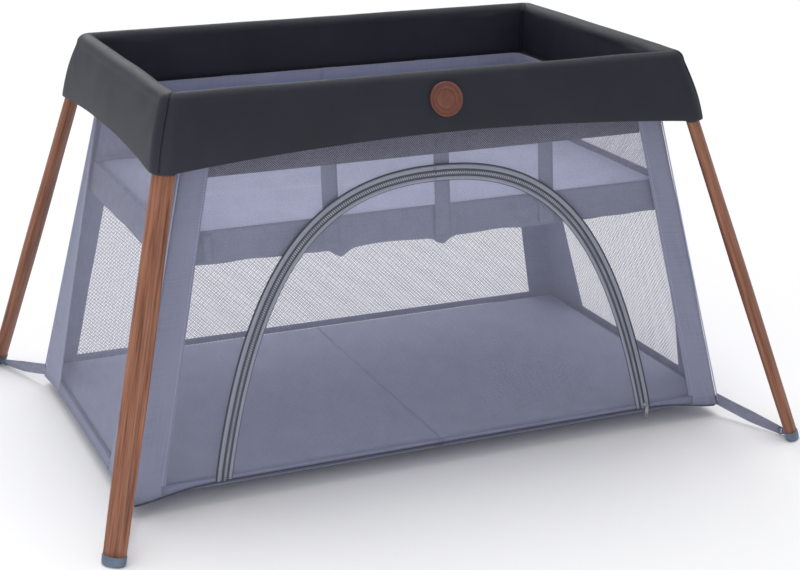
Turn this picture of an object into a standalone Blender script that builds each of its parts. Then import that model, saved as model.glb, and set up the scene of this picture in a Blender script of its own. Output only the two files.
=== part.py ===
"""Folding playpen: a padded top rail on four splayed wooden legs, with a tapered mesh body hung from it.

The top frame folds in half at a hub in each long rail, the legs swing in along the end rails, and an
arched door in the front panel drops outwards. Metres, +Z up, +X along the long rails, the front is -Y.
"""

import math

import bmesh
import bpy
from mathutils import Matrix, Vector
from mathutils.geometry import interpolate_bezier

# Overall sizes.
HEIGHT = 0.640
RAIL_LENGTH = 0.845
RAIL_WIDTH = 0.526
SPLAY_X = 0.2623
SPLAY_Y = 0.2811
FLOOR_LENGTH = 1.047
FLOOR_WIDTH = 0.596
CLEAR = 0.0003
OVERSHOOT = 0.002

# Top rail: tube, foam sleeve and fabric cover.
TUBE_RADIUS = 0.010
FOAM_RADIUS = 0.013
COVER_HALF = 0.017
COVER_WALL = 0.0035
COVER_CORNER = 0.030
SKIRT_HEIGHT = 0.110
BEND_RADIUS = COVER_CORNER - COVER_HALF
ELBOW_RADIUS = 0.0113

# Centre hub of each long rail.
HUB_PITCH = 0.060
HUB_OVERHANG = 0.015
HUB_CHEEK = 0.0045
HUB_FLOOR = 0.004
HUB_TOP = 0.0055
TONGUE_WIDTH = 0.014
TONGUE_RADIUS = 0.009
TONGUE_LENGTH = 0.0255
TONGUE_ROOT = 0.004
PIN_RADIUS = 0.003
FOAM_START = 0.030
FOAM_END = 0.008
BUTTON_SIZE = 0.012
BUTTON_STEM = 0.008
BUTTON_TRAVEL = 0.004
BUTTON_CAP = 0.005
BUTTON_HEAD = 0.004
BUTTON_HEAD_CLEAR = 0.001

# Legs.
LEG_INSET = 0.0195
PIVOT_INSET = 0.0225
LEG_WIDE = 0.037
LEG_THIN = 0.020
LEG_TAPER = 0.90
PIVOT_DROP = 0.050
EYE_RADIUS = 0.0095
EYE_WIDTH = 0.010
CHEEK_WALL = 0.003
CHEEK_RADIUS = 0.0095
ARM_ROOT = 0.006
ARM_WIDTH = 0.0152
LEG_START = 0.0225
NECK_TOP = 0.006
NECK_INSET = 0.0045
NECK_TAPER = 0.62
FOOT_HEIGHT = 0.014
FOOT_LIP = 0.0015
LUG_START = 0.004
LUG_REACH = 0.006
LUG_WALL = 0.006
LUG_INSET = 0.001
FRONT_FOLD_TILT = 14.0
FRONT_FOLD_SKEW = 11.0
BACK_FOLD_TILT = 25.0
BACK_FOLD_SKEW = 6.5

# Fabric body, floor and mattress.
PANEL_WALL = 0.003
PANEL_GAP = 0.001
BODY_BOTTOM = 0.028
FLOOR_WALL = 0.002
MATTRESS_DEPTH = 0.010
MATTRESS_CLEAR = 0.004
STRAP_WIDTH = 0.020
STRAP_WALL = 0.0016
STRAP_LIFT = 0.002
STRAP_START = 0.003

# Arched door.
DOOR_WIDTH = 0.744
DOOR_HEIGHT = 0.441
DOOR_SILL = 0.008
DOOR_CLEAR = 0.0006
ARCH_SHOULDER = (0.83, 0.742)
ARCH_CROWN = (0.536, 1.004)

# Bassinet insert.
BASSINET_BASE = 0.372
BASSINET_MAT = 0.050
BASSINET_WALL = 0.003
BASSINET_TOP = 0.526
BASSINET_CLEAR = 0.004

# Round badge on the front cover, and the pull of the door's zip.
BADGE_DIAMETER = 0.054
BADGE_WALL = 0.0025
BADGE_DROP = 0.040
SLIDER_DEPTH = 0.004
PULL_LENGTH = 0.024
PULL_WIDTH = 0.006
PULL_WALL = 0.0015
PULL_SIDE = 0.006
PULL_RISE = 0.003

# What follows from them.
TUBE_Z = HEIGHT - COVER_HALF
SKIRT_Z = HEIGHT - SKIRT_HEIGHT
RAIL_X = RAIL_LENGTH / 2
RAIL_Y = RAIL_WIDTH / 2
HUB_X = HUB_PITCH / 2
PIVOT_Z = HEIGHT - PIVOT_DROP
PANEL_TOP = SKIRT_Z - PANEL_GAP
LUG_STOP = LEG_WIDE / 2 + LUG_REACH
SIDES = {"left": -1, "right": 1}
ENDS = {"front": -1, "back": 1}


# ---------------------------------------------------------------- scene and shared steps

def clear_scene():
    for old in list(bpy.data.objects):
        bpy.data.objects.remove(old, do_unlink=True)


def collection(name):
    made = bpy.data.collections.new(name)
    bpy.context.scene.collection.children.link(made)
    return made


clear_scene()
PARTS = collection("Playpen")
CUTTERS = collection("Cutters")
CUTTERS.hide_render = True


def material(name, colour, roughness, metallic=0.0):
    made = bpy.data.materials.new(name)
    made.use_nodes = True
    shader = made.node_tree.nodes["Principled BSDF"]
    shader.inputs["Base Color"].default_value = (*colour, 1.0)
    shader.inputs["Roughness"].default_value = roughness
    shader.inputs["Metallic"].default_value = metallic
    made.diffuse_color = (*colour, 1.0)
    return made


ALUMINIUM = material("aluminium_tube", (0.55, 0.56, 0.58), 0.35, 1.0)
NYLON = material("black_nylon", (0.03, 0.03, 0.035), 0.5)
STEEL = material("steel_pin", (0.6, 0.6, 0.6), 0.3, 1.0)
FOAM = material("grey_foam", (0.35, 0.35, 0.37), 0.95)
COVER = material("charcoal_cover", (0.024, 0.026, 0.034), 0.6)
WALNUT = material("walnut_leg", (0.27, 0.10, 0.05), 0.45)
FOOT = material("slate_foot", (0.11, 0.16, 0.22), 0.5)
MESH = material("lavender_mesh", (0.30, 0.31, 0.42), 0.8)
FLOOR = material("grey_floor", (0.18, 0.19, 0.25), 0.85)
MATTRESS = material("grey_mattress", (0.17, 0.18, 0.24), 0.9)
BASSINET = material("lavender_bassinet", (0.30, 0.31, 0.45), 0.8)
WEBBING = material("grey_webbing", (0.25, 0.26, 0.33), 0.8)
LEATHER = material("brown_leather", (0.16, 0.06, 0.03), 0.55)
ZIP = material("zip_metal", (0.35, 0.35, 0.36), 0.35, 1.0)


def keep(obj, skin):
    """Puts a finished piece in the part's collection with its material."""
    obj.data.materials.clear()
    obj.data.materials.append(skin)
    PARTS.objects.link(obj)
    return obj


def hide(obj):
    """Puts a cutter or a shape that is joined to another where the build leaves it out."""
    CUTTERS.objects.link(obj)
    obj.hide_render = True
    obj.display_type = "WIRE"
    return obj


def from_bmesh(name, work, smooth=False):
    mesh = bpy.data.meshes.new(name)
    work.to_mesh(mesh)
    work.free()
    if smooth:
        mesh.shade_smooth()
        mesh.set_sharp_from_angle(angle=math.radians(35))
    return bpy.data.objects.new(name, mesh)


def block(name, low, high):
    """A box between two opposite corners."""
    low, high = Vector(low), Vector(high)
    work = bmesh.new()
    bmesh.ops.create_cube(work, size=1.0)
    size = high - low
    work.transform(Matrix.Translation((low + high) / 2) @ Matrix.Diagonal((*size, 1.0)))
    return from_bmesh(name, work)


def rod(name, start, end, radius, segments=20):
    """A cylinder between two points."""
    start, end = Vector(start), Vector(end)
    along = end - start
    work = bmesh.new()
    bmesh.ops.create_cone(
        work, cap_ends=True, segments=segments, radius1=radius, radius2=radius, depth=along.length
    )
    turn = along.to_track_quat("Z", "Y").to_matrix().to_4x4()
    work.transform(Matrix.Translation((start + end) / 2) @ turn)
    return from_bmesh(name, work, smooth=True)


def boolean(obj, other, operation):
    """Cuts or joins another shape, which then moves with the object."""
    step = obj.modifiers.new(other.name, "BOOLEAN")
    step.operation = operation
    step.object = hide(other)
    other.parent = obj


def outline(name, points, thickness, place, skin):
    """A flat plate cut to an outline. place maps its plane, with thickness along the plane's normal."""
    curve = bpy.data.curves.new(name, "CURVE")
    curve.dimensions = "2D"
    curve.fill_mode = "BOTH"
    curve.extrude = thickness / 2
    spline = curve.splines.new("POLY")
    spline.points.add(len(points) - 1)
    for point, (u, v) in zip(spline.points, points):
        point.co = (u, v, 0.0, 1.0)
    spline.use_cyclic_u = True
    obj = bpy.data.objects.new(name, curve)
    obj.matrix_world = place
    return keep(obj, skin)


# ---------------------------------------------------------------- shared geometry

def outer_x(z):
    """Half length of the cover's outer face at height z."""
    return RAIL_X + COVER_HALF + SPLAY_X * (TUBE_Z - z)


def outer_y(z):
    return RAIL_Y + COVER_HALF + SPLAY_Y * (TUBE_Z - z)


def leg_point(side, end, z):
    """A point on a leg's centre line."""
    return Vector((side * (outer_x(z) - LEG_INSET), end * (outer_y(z) - LEG_INSET), z))


def leg_down(side, end):
    return (leg_point(side, end, 0.0) - leg_point(side, end, PIVOT_Z)).normalized()


def leg_folded(side, end):
    """Direction of a folded leg: along the end rail, a little outboard, hanging below the rail."""
    tilt, skew = FRONT_FOLD_TILT, FRONT_FOLD_SKEW
    if end > 0:
        tilt, skew = BACK_FOLD_TILT, BACK_FOLD_SKEW
    tilt, skew = math.radians(tilt), math.radians(skew)
    flat = Vector((side * math.sin(skew), -end * math.cos(skew), 0.0)) * math.cos(tilt)
    return flat + Vector((0.0, 0.0, -math.sin(tilt)))


def leg_axis(side, end):
    """The pivot's axis: turning about it by the right hand takes the leg from open to folded."""
    return leg_down(side, end).cross(leg_folded(side, end)).normalized()


BODY_TOP_X = RAIL_X - COVER_HALF + COVER_WALL
BODY_TOP_Y = RAIL_Y - COVER_HALF + COVER_WALL
PANEL_RISE = PANEL_TOP - BODY_BOTTOM
LEAN_X = (FLOOR_LENGTH / 2 - BODY_TOP_X) / PANEL_RISE
LEAN_Y = (FLOOR_WIDTH / 2 - BODY_TOP_Y) / PANEL_RISE


def body_x(z):
    """Half length of the fabric body's outer face at height z."""
    return FLOOR_LENGTH / 2 - LEAN_X * (z - BODY_BOTTOM)


def body_y(z):
    return FLOOR_WIDTH / 2 - LEAN_Y * (z - BODY_BOTTOM)


# ---------------------------------------------------------------- top rail frame

def make_long_rail(side, end):
    """Aluminium tube of half a long side, with the flat tongue that the hub's pin goes through."""
    label = f"{name_of(ENDS, end)}_rail_{name_of(SIDES, side)}"
    y = end * RAIL_Y
    inner = HUB_X + TONGUE_LENGTH
    outer = RAIL_X - BEND_RADIUS - CLEAR
    tube = rod(label, (side * inner, y, TUBE_Z), (side * outer, y, TUBE_Z), TUBE_RADIUS)
    half = TONGUE_WIDTH / 2
    low = (HUB_X, y - half, TUBE_Z - TONGUE_RADIUS)
    high = (inner + TONGUE_ROOT, y + half, TUBE_Z + TONGUE_RADIUS)
    if side < 0:
        low, high = (-high[0], low[1], low[2]), (-low[0], high[1], high[2])
    boolean(tube, block(f"{label}_tongue", low, high), "UNION")
    pivot = Vector((side * HUB_X, y, TUBE_Z))
    across = Vector((0.0, half, 0.0))
    boolean(tube, rod(f"{label}_nose", pivot - across, pivot + across, TONGUE_RADIUS, 24), "UNION")
    reach = Vector((0.0, TONGUE_WIDTH, 0.0))
    hole = rod(f"{label}_hole", pivot - reach, pivot + reach, PIN_RADIUS + CLEAR)
    boolean(tube, hole, "DIFFERENCE")
    return keep(tube, ALUMINIUM)


def make_end_rail(side):
    label = f"end_rail_{name_of(SIDES, side)}"
    reach = RAIL_Y - BEND_RADIUS - CLEAR
    x = side * RAIL_X
    return keep(rod(label, (x, -reach, TUBE_Z), (x, reach, TUBE_Z), TUBE_RADIUS), ALUMINIUM)


def make_sleeve(label, start, end):
    """Foam sleeve slid over a rail tube."""
    sleeve = rod(label, start, end, FOAM_RADIUS, 24)
    along = (Vector(end) - Vector(start)).normalized() * OVERSHOOT
    bore = rod(f"{label}_bore", Vector(start) - along, Vector(end) + along, TUBE_RADIUS + CLEAR, 24)
    boolean(sleeve, bore, "DIFFERENCE")
    return keep(sleeve, FOAM)


def make_sleeves(side):
    label = name_of(SIDES, side)
    inner = HUB_X + FOAM_START
    outer = RAIL_X - BEND_RADIUS - FOAM_END
    for end_name, end in ENDS.items():
        y = end * RAIL_Y
        make_sleeve(f"{end_name}_pad_{label}", (side * inner, y, TUBE_Z), (side * outer, y, TUBE_Z))
    reach = RAIL_Y - BEND_RADIUS - FOAM_END
    x = side * RAIL_X
    make_sleeve(f"end_pad_{label}", (x, -reach, TUBE_Z), (x, reach, TUBE_Z))


def bent_rod(name, points, radius):
    """A round bar along a path, as a mesh that can be cut and joined."""
    curve = bpy.data.curves.new(name, "CURVE")
    curve.dimensions = "3D"
    curve.bevel_depth = radius
    curve.bevel_resolution = 4
    curve.use_fill_caps = True
    spline = curve.splines.new("POLY")
    spline.points.add(len(points) - 1)
    for point, place in zip(spline.points, points):
        point.co = (*place, 1.0)
    path = bpy.data.objects.new(name, curve)
    CUTTERS.objects.link(path)
    shape = path.evaluated_get(bpy.context.evaluated_depsgraph_get())
    work = bmesh.new()
    work.from_mesh(bpy.data.meshes.new_from_object(shape))
    bmesh.ops.remove_doubles(work, verts=work.verts, dist=1e-6)
    bpy.data.objects.remove(path, do_unlink=True)
    return from_bmesh(name, work, smooth=True)


def elbow_path(side, end):
    """A quarter turn between two rails' centre lines."""
    steps = 6
    centre_x = RAIL_X - BEND_RADIUS
    centre_y = RAIL_Y - BEND_RADIUS
    path = []
    for step in range(steps + 1):
        angle = math.radians(90 * step / steps)
        x = centre_x + BEND_RADIUS * math.cos(angle)
        y = centre_y + BEND_RADIUS * math.sin(angle)
        path.append(Vector((side * x, end * y, TUBE_Z)))
    return path


def pivot_point(side, end):
    """Centre of a leg's pivot pin, inside the cover's corner."""
    x = side * (outer_x(PIVOT_Z) - PIVOT_INSET)
    y = end * (outer_y(PIVOT_Z) - PIVOT_INSET)
    return Vector((x, y, PIVOT_Z))


def make_corner(side, end):
    """Moulded elbow that joins two rails and carries the leg's pivot between two cheeks."""
    label = f"{name_of(ENDS, end)}_corner_{name_of(SIDES, side)}"
    path = elbow_path(side, end)
    corner = bent_rod(label, path, ELBOW_RADIUS)
    pivot = pivot_point(side, end)
    axis = leg_axis(side, end)
    for number, way in enumerate((-1, 1)):
        near = pivot + axis * way * (EYE_WIDTH / 2 + CLEAR)
        far = pivot + axis * way * (EYE_WIDTH / 2 + CLEAR + CHEEK_WALL)
        boolean(corner, rod(f"{label}_cheek_{number}", near, far, CHEEK_RADIUS, 24), "UNION")
        boolean(corner, arm(f"{label}_arm_{number}", near, far, path[len(path) // 2]), "UNION")
    reach = axis * (EYE_WIDTH / 2 + CLEAR + CHEEK_WALL / 2)
    boolean(corner, rod(f"{label}_pin", pivot - reach, pivot + reach, PIN_RADIUS, 20), "UNION")
    xs = sorted((side * (RAIL_X - BEND_RADIUS), side * (RAIL_X + 2 * COVER_CORNER)))
    ys = sorted((end * (RAIL_Y - BEND_RADIUS), end * (RAIL_Y + 2 * COVER_CORNER)))
    room = block(f"{label}_room", (xs[0], ys[0], 0.0), (xs[1], ys[1], HEIGHT))
    boolean(corner, room, "INTERSECT")
    return keep(corner, NYLON)


def arm(label, near, far, centre):
    """The stem of a cheek, from its round end up into the elbow."""
    axis = (far - near).normalized()
    middle = (near + far) / 2
    up = centre - middle
    up -= axis * up.dot(axis)
    length = up.length * (up.z - ELBOW_RADIUS + ARM_ROOT) / up.z
    up.normalize()
    across = axis.cross(up)
    size = Vector(((far - near).length, ARM_WIDTH, length))
    turn = Matrix((axis, across, up)).transposed().to_4x4()
    work = bmesh.new()
    bmesh.ops.create_cube(work, size=1.0)
    work.transform(
        Matrix.Translation(middle + up * length / 2) @ turn @ Matrix.Diagonal((*size, 1.0))
    )
    return from_bmesh(label, work)


def name_of(table, value):
    return next(name for name, number in table.items() if number == value)


# ---------------------------------------------------------------- centre hubs and release buttons

def make_hub(end):
    """U-shaped hub between the two halves of a long rail, with a pin at each side of it."""
    label = f"{name_of(ENDS, end)}_hub"
    y = end * RAIL_Y
    half_length = HUB_X + HUB_OVERHANG
    inside = TONGUE_WIDTH / 2 + CLEAR
    outside = inside + HUB_CHEEK
    floor_top = TUBE_Z - TONGUE_RADIUS - CLEAR
    floor_low = floor_top - HUB_FLOOR
    hub = block(
        label, (-half_length, y - outside, floor_low), (half_length, y + outside, TUBE_Z + HUB_TOP)
    )
    channel = block(
        f"{label}_channel",
        (-2 * half_length, y - inside, floor_top),
        (2 * half_length, y + inside, TUBE_Z + 2 * TUBE_RADIUS),
    )
    boolean(hub, channel, "DIFFERENCE")
    across = Vector((0.0, outside + OVERSHOOT, 0.0))
    for number, way in enumerate((-1, 1)):
        pivot = Vector((way * HUB_X, y, TUBE_Z))
        hole = rod(f"{label}_hole_{number}", pivot - across, pivot + across, PIN_RADIUS + CLEAR)
        boolean(hub, hole, "DIFFERENCE")
    slot = BUTTON_STEM / 2 + CLEAR
    window = block(
        f"{label}_window", (-slot, y - slot, floor_low - OVERSHOOT), (slot, y + slot, floor_top + OVERSHOOT)
    )
    boolean(hub, window, "DIFFERENCE")
    for side_name, side in SIDES.items():
        pivot = Vector((side * HUB_X, y, TUBE_Z))
        across = Vector((0.0, outside, 0.0))
        keep(rod(f"{label}_pin_{side_name}", pivot - across, pivot + across, PIN_RADIUS), STEEL)
    return keep(hub, NYLON)


def make_button(end):
    """Release button under a hub: a cap below the hub's floor, a stem through it and a head above."""
    label = f"{name_of(ENDS, end)}_release_button"
    y = end * RAIL_Y
    floor_top = TUBE_Z - TONGUE_RADIUS - CLEAR
    floor_low = floor_top - HUB_FLOOR
    half = BUTTON_SIZE / 2
    stem = BUTTON_STEM / 2
    cap_top = floor_low - BUTTON_TRAVEL - CLEAR
    head_low = floor_top + CLEAR
    head_high = floor_top + BUTTON_HEAD
    head_half = TONGUE_WIDTH / 2 - BUTTON_HEAD_CLEAR
    stem_low = cap_top - BUTTON_CAP / 2
    stem_high = (head_low + head_high) / 2
    cap = block(label, (-half, y - half, cap_top - BUTTON_CAP), (half, y + half, cap_top))
    shank = block(f"{label}_stem", (-stem, y - stem, stem_low), (stem, y + stem, stem_high))
    head = block(f"{label}_head", (-half, y - head_half, head_low), (half, y + head_half, head_high))
    boolean(cap, shank, "UNION")
    boolean(cap, head, "UNION")
    return keep(cap, NYLON)


# ---------------------------------------------------------------- fabric cover of the top rail

def cover_profile():
    """Inset from the outer face and height of the cover's closed section, an upside-down U."""
    outside = []
    inside = []
    turns = 8
    for step in range(turns + 1):
        angle = math.pi * step / turns
        for radius, points in ((COVER_HALF, outside), (COVER_HALF - COVER_WALL, inside)):
            points.append((COVER_HALF - radius * math.cos(angle), TUBE_Z + radius * math.sin(angle)))
    low = SKIRT_Z
    section = [(0.0, low), *outside, (2 * COVER_HALF, low)]
    back = [(2 * COVER_HALF - COVER_WALL, low), *reversed(inside), (COVER_WALL, low)]
    return section + back


def cover_ring(side, inset, z):
    """One line of the cover along its C-shaped plan. The outer skirt flares and the inner one hangs."""
    slope = max(0.0, TUBE_Z - z) if inset < COVER_HALF else 0.0
    half_x = RAIL_X + COVER_HALF + SPLAY_X * slope - inset
    half_y = RAIL_Y + COVER_HALF + SPLAY_Y * slope - inset
    radius = max(COVER_CORNER - inset, COVER_WALL)
    ring = [(CLEAR, -half_y), (half_x / 2, -half_y)]
    turns = 6
    for centre_y, first in ((-(half_y - radius), -90), (half_y - radius, 0)):
        for step in range(turns + 1):
            angle = math.radians(first + 90 * step / turns)
            ring.append((half_x - radius + radius * math.cos(angle), centre_y + radius * math.sin(angle)))
    ring += [(half_x / 2, half_y), (CLEAR, half_y)]
    return [(side * x, y, z) for x, y in ring]


def make_cover(side):
    """Padded fabric cover over half of the top rail, wrapped over the foam and hanging as a skirt."""
    work = bmesh.new()
    rings = [[work.verts.new(point) for point in cover_ring(side, *at)] for at in cover_profile()]
    for ring, following in zip(rings, rings[1:] + rings[:1]):
        for a, b, c, d in zip(ring, ring[1:], following[1:], following):
            work.faces.new((a, b, c, d))
    half = len(rings) // 2
    for place in (0, -1):
        edge = [ring[place] for ring in rings]
        for i in range(half - 1):
            work.faces.new((edge[i], edge[i + 1], edge[-2 - i], edge[-1 - i]))
    bmesh.ops.recalc_face_normals(work, faces=work.faces)
    return keep(from_bmesh(f"cover_{name_of(SIDES, side)}", work, smooth=True), COVER)


# ---------------------------------------------------------------- legs

def leg_oval(label, side, end, low, high, grow=0.0, scale=(1.0, 1.0)):
    """Oval leg section between two heights: an upright tapered oval, sheared along the splay."""
    work = bmesh.new()
    bmesh.ops.create_cone(
        work, cap_ends=True, segments=24, radius1=scale[0], radius2=scale[1], depth=high - low
    )
    wide = LEG_WIDE / 2 + grow
    thin = LEG_THIN / 2 + grow
    middle = (low + high) / 2
    centre = leg_point(side, end, middle)
    shear = Matrix.Identity(4)
    shear[0][2] = -side * SPLAY_X
    shear[1][2] = -end * SPLAY_Y
    turn = Matrix.Rotation(math.radians(-45 * side * end), 4, "Z")
    work.transform(Matrix.Translation(centre) @ shear @ turn @ Matrix.Diagonal((wide, thin, 1.0, 1.0)))
    return from_bmesh(label, work, smooth=True)


def make_leg(side, end):
    """Wooden leg, the plastic head that turns on the corner's pin, and the foot cap."""
    tail = f"{name_of(ENDS, end)}_{name_of(SIDES, side)}"
    pivot = pivot_point(side, end)
    axis = leg_axis(side, end)
    top = PIVOT_Z - LEG_START
    wood = leg_oval(f"leg_{tail}", side, end, FOOT_HEIGHT + CLEAR, top, 0.0, (LEG_TAPER, 1.0))
    keep(wood, WALNUT)

    reach = axis * EYE_WIDTH / 2
    head = rod(f"leg_head_{tail}", pivot - reach, pivot + reach, EYE_RADIUS, 24)
    neck_low = top + CLEAR
    neck_high = PIVOT_Z - NECK_TOP
    neck = leg_oval(f"leg_head_{tail}_neck", side, end, neck_low, neck_high, -NECK_INSET, (1.0, NECK_TAPER))
    boolean(head, neck, "UNION")
    for number, way in enumerate((-1, 1)):
        near = pivot + axis * way * EYE_WIDTH / 2
        far = near + axis * way * (CHEEK_WALL + CLEAR + OVERSHOOT)
        swing = CHEEK_RADIUS + 2 * CLEAR
        boolean(head, rod(f"leg_head_{tail}_room_{number}", near, far, swing, 24), "DIFFERENCE")
    bore = axis * EYE_WIDTH
    hole = rod(f"leg_head_{tail}_hole", pivot - bore, pivot + bore, PIN_RADIUS + CLEAR, 20)
    boolean(head, hole, "DIFFERENCE")
    keep(head, NYLON)

    foot = leg_oval(f"foot_{tail}", side, end, 0.0, FOOT_HEIGHT, FOOT_LIP, (LEG_TAPER, LEG_TAPER))
    boolean(foot, lug(f"foot_{tail}_lug", side, end), "UNION")
    keep(foot, FOOT)


def strap_ends(side, end):
    """The strap's two ends in plan: the body's bottom corner, and the foot's lug."""
    corner = Vector((side * FLOOR_LENGTH / 2, end * FLOOR_WIDTH / 2, 0.0))
    foot = leg_point(side, end, FOOT_HEIGHT / 2)
    foot.z = 0.0
    along = (foot - corner).normalized()
    return corner + along * STRAP_START, foot - along * (LUG_STOP + CLEAR)


def lug(label, side, end):
    """The tab on a foot cap that the strap is sewn to, which points at the body's corner."""
    corner = Vector((side * FLOOR_LENGTH / 2, end * FLOOR_WIDTH / 2, 0.0))
    foot = leg_point(side, end, FOOT_HEIGHT / 2)
    foot.z = 0.0
    along = (corner - foot).normalized()
    start, stop = foot + along * LUG_START, foot + along * LUG_STOP
    return slab(label, start, stop, LUG_WALL, LUG_INSET, FOOT_HEIGHT - LUG_INSET)


def slab(label, start, stop, thickness, low, high):
    """An upright plate between two points in plan."""
    along = stop - start
    work = bmesh.new()
    bmesh.ops.create_cube(work, size=1.0)
    middle = (start + stop) / 2 + Vector((0.0, 0.0, (low + high) / 2))
    turn = Matrix.Rotation(math.atan2(along.y, along.x), 4, "Z")
    size = (along.length, thickness, high - low, 1.0)
    work.transform(Matrix.Translation(middle) @ turn @ Matrix.Diagonal(size))
    return from_bmesh(label, work)


def make_strap(side, end):
    """Webbing that ties the fabric body's bottom corner to the foot."""
    start, stop = strap_ends(side, end)
    label = f"strap_{name_of(ENDS, end)}_{name_of(SIDES, side)}"
    high = STRAP_LIFT + STRAP_WIDTH
    return keep(slab(label, start, stop, STRAP_WALL, STRAP_LIFT, high), WEBBING)


# ---------------------------------------------------------------- fabric body

def panel_place(end):
    """Maps a front or back panel's plane: u along +X, v up the slope from the bottom edge."""
    lean = math.atan(LEAN_Y)
    up = Vector((0.0, -end * math.sin(lean), math.cos(lean)))
    along = Vector((1.0, 0.0, 0.0))
    normal = along.cross(up)
    inwards = Vector((0.0, -end, 0.0))
    normal_in = normal if normal.dot(inwards) > 0 else -normal
    origin = Vector((0.0, end * FLOOR_WIDTH / 2, BODY_BOTTOM)) + normal_in * PANEL_WALL / 2
    return Matrix.Translation(origin) @ Matrix((along, up, normal)).transposed().to_4x4()


def end_place(side):
    """Maps an end panel's plane: u along +Y, v up the slope from the bottom edge."""
    lean = math.atan(LEAN_X)
    up = Vector((-side * math.sin(lean), 0.0, math.cos(lean)))
    along = Vector((0.0, 1.0, 0.0))
    normal = along.cross(up)
    inwards = Vector((-side, 0.0, 0.0))
    normal_in = normal if normal.dot(inwards) > 0 else -normal
    origin = Vector((side * FLOOR_LENGTH / 2, 0.0, BODY_BOTTOM)) + normal_in * PANEL_WALL / 2
    return Matrix.Translation(origin) @ Matrix((along, up, normal)).transposed().to_4x4()


def up_slope(lean, rise):
    """Distance up a leaning panel that gives this rise."""
    return rise * math.sqrt(1.0 + lean * lean)


def door_curve(grow):
    """Right half of the arch, from its foot to its top, as (u, v) above the sill."""
    wide = DOOR_WIDTH / 2 + grow
    tall = DOOR_HEIGHT + grow
    shares = ((1.0, 0.0), ARCH_SHOULDER, ARCH_CROWN, (0.0, 1.0))
    knots = [Vector((wide * across, tall * up, 0.0)) for across, up in shares]
    return [(point.x, point.y) for point in interpolate_bezier(*knots, 18)]


def wall_room(lean):
    """The level distance from a leaning panel's outer face to what stands clear of its inner face."""
    return (PANEL_WALL + CLEAR) * math.sqrt(1.0 + lean * lean) + CLEAR


def side_cut(z):
    """Where a front or back panel stops short of the end panel's inner face."""
    return body_x(z) - wall_room(LEAN_X)


def mirrored(points, side):
    return [(side * u, v) for u, v in points]


def make_front_panel(side):
    """Half of the front panel, cut away round the arched door."""
    top = up_slope(LEAN_Y, PANEL_RISE)
    arch = [(u, v + DOOR_SILL) for u, v in door_curve(DOOR_CLEAR)]
    arch[-1] = (CLEAR, arch[-1][1])
    edge = [(CLEAR, 0.0), (side_cut(BODY_BOTTOM), 0.0), (side_cut(PANEL_TOP), top), (CLEAR, top)]
    edge += list(reversed(arch)) + [(CLEAR, DOOR_SILL)]
    label = f"front_panel_{name_of(SIDES, side)}"
    return outline(label, mirrored(edge, side), PANEL_WALL, panel_place(-1), MESH)


def make_door(side):
    """Half of the arched door, hinged along its sill."""
    curve = [(u, v + DOOR_SILL + DOOR_CLEAR) for u, v in door_curve(-DOOR_CLEAR)]
    curve[-1] = (CLEAR, curve[-1][1])
    edge = [(CLEAR, DOOR_SILL + DOOR_CLEAR)] + curve
    label = f"door_{name_of(SIDES, side)}"
    return outline(label, mirrored(edge, side), PANEL_WALL, panel_place(-1), MESH)


def make_back_panel(side):
    top = up_slope(LEAN_Y, PANEL_RISE)
    edge = [(CLEAR, 0.0), (side_cut(BODY_BOTTOM), 0.0), (side_cut(PANEL_TOP), top), (CLEAR, top)]
    label = f"back_panel_{name_of(SIDES, side)}"
    return outline(label, mirrored(edge, side), PANEL_WALL, panel_place(1), MESH)


def make_end_panel(side):
    top = up_slope(LEAN_X, PANEL_RISE)
    low, high = body_y(BODY_BOTTOM), body_y(PANEL_TOP)
    edge = [(-low, 0.0), (low, 0.0), (high, top), (-high, top)]
    return outline(f"end_panel_{name_of(SIDES, side)}", edge, PANEL_WALL, end_place(side), MESH)


def side_box(label, side, inner, outer, half_y, low, high, skin):
    """A box on one side of the middle, from inner to outer along X."""
    xs = sorted((side * inner, side * outer))
    return keep(block(label, (xs[0], -half_y, low), (xs[1], half_y, high)), skin)


def make_floor(side):
    """Half of the fabric floor, and half of the mat that lies on it."""
    label = name_of(SIDES, side)
    low = BODY_BOTTOM + CLEAR
    high = low + FLOOR_WALL
    side_box(
        f"floor_{label}", side, CLEAR, body_x(high) - wall_room(LEAN_X), body_y(high) - wall_room(LEAN_Y),
        low, high, FLOOR,
    )
    mat_low = high + CLEAR
    mat_high = mat_low + MATTRESS_DEPTH
    room = PANEL_WALL + MATTRESS_CLEAR
    side_box(
        f"mattress_{label}", side, CLEAR, body_x(mat_high) - room, body_y(mat_high) - room,
        mat_low, mat_high, MATTRESS,
    )


# ---------------------------------------------------------------- bassinet insert

def bassinet_reach(z):
    """Half length and half width of the bassinet's outer face, which follows the body inside its panels."""
    return body_x(z) - wall_room(LEAN_X) - BASSINET_CLEAR, body_y(z) - wall_room(LEAN_Y) - BASSINET_CLEAR


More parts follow.
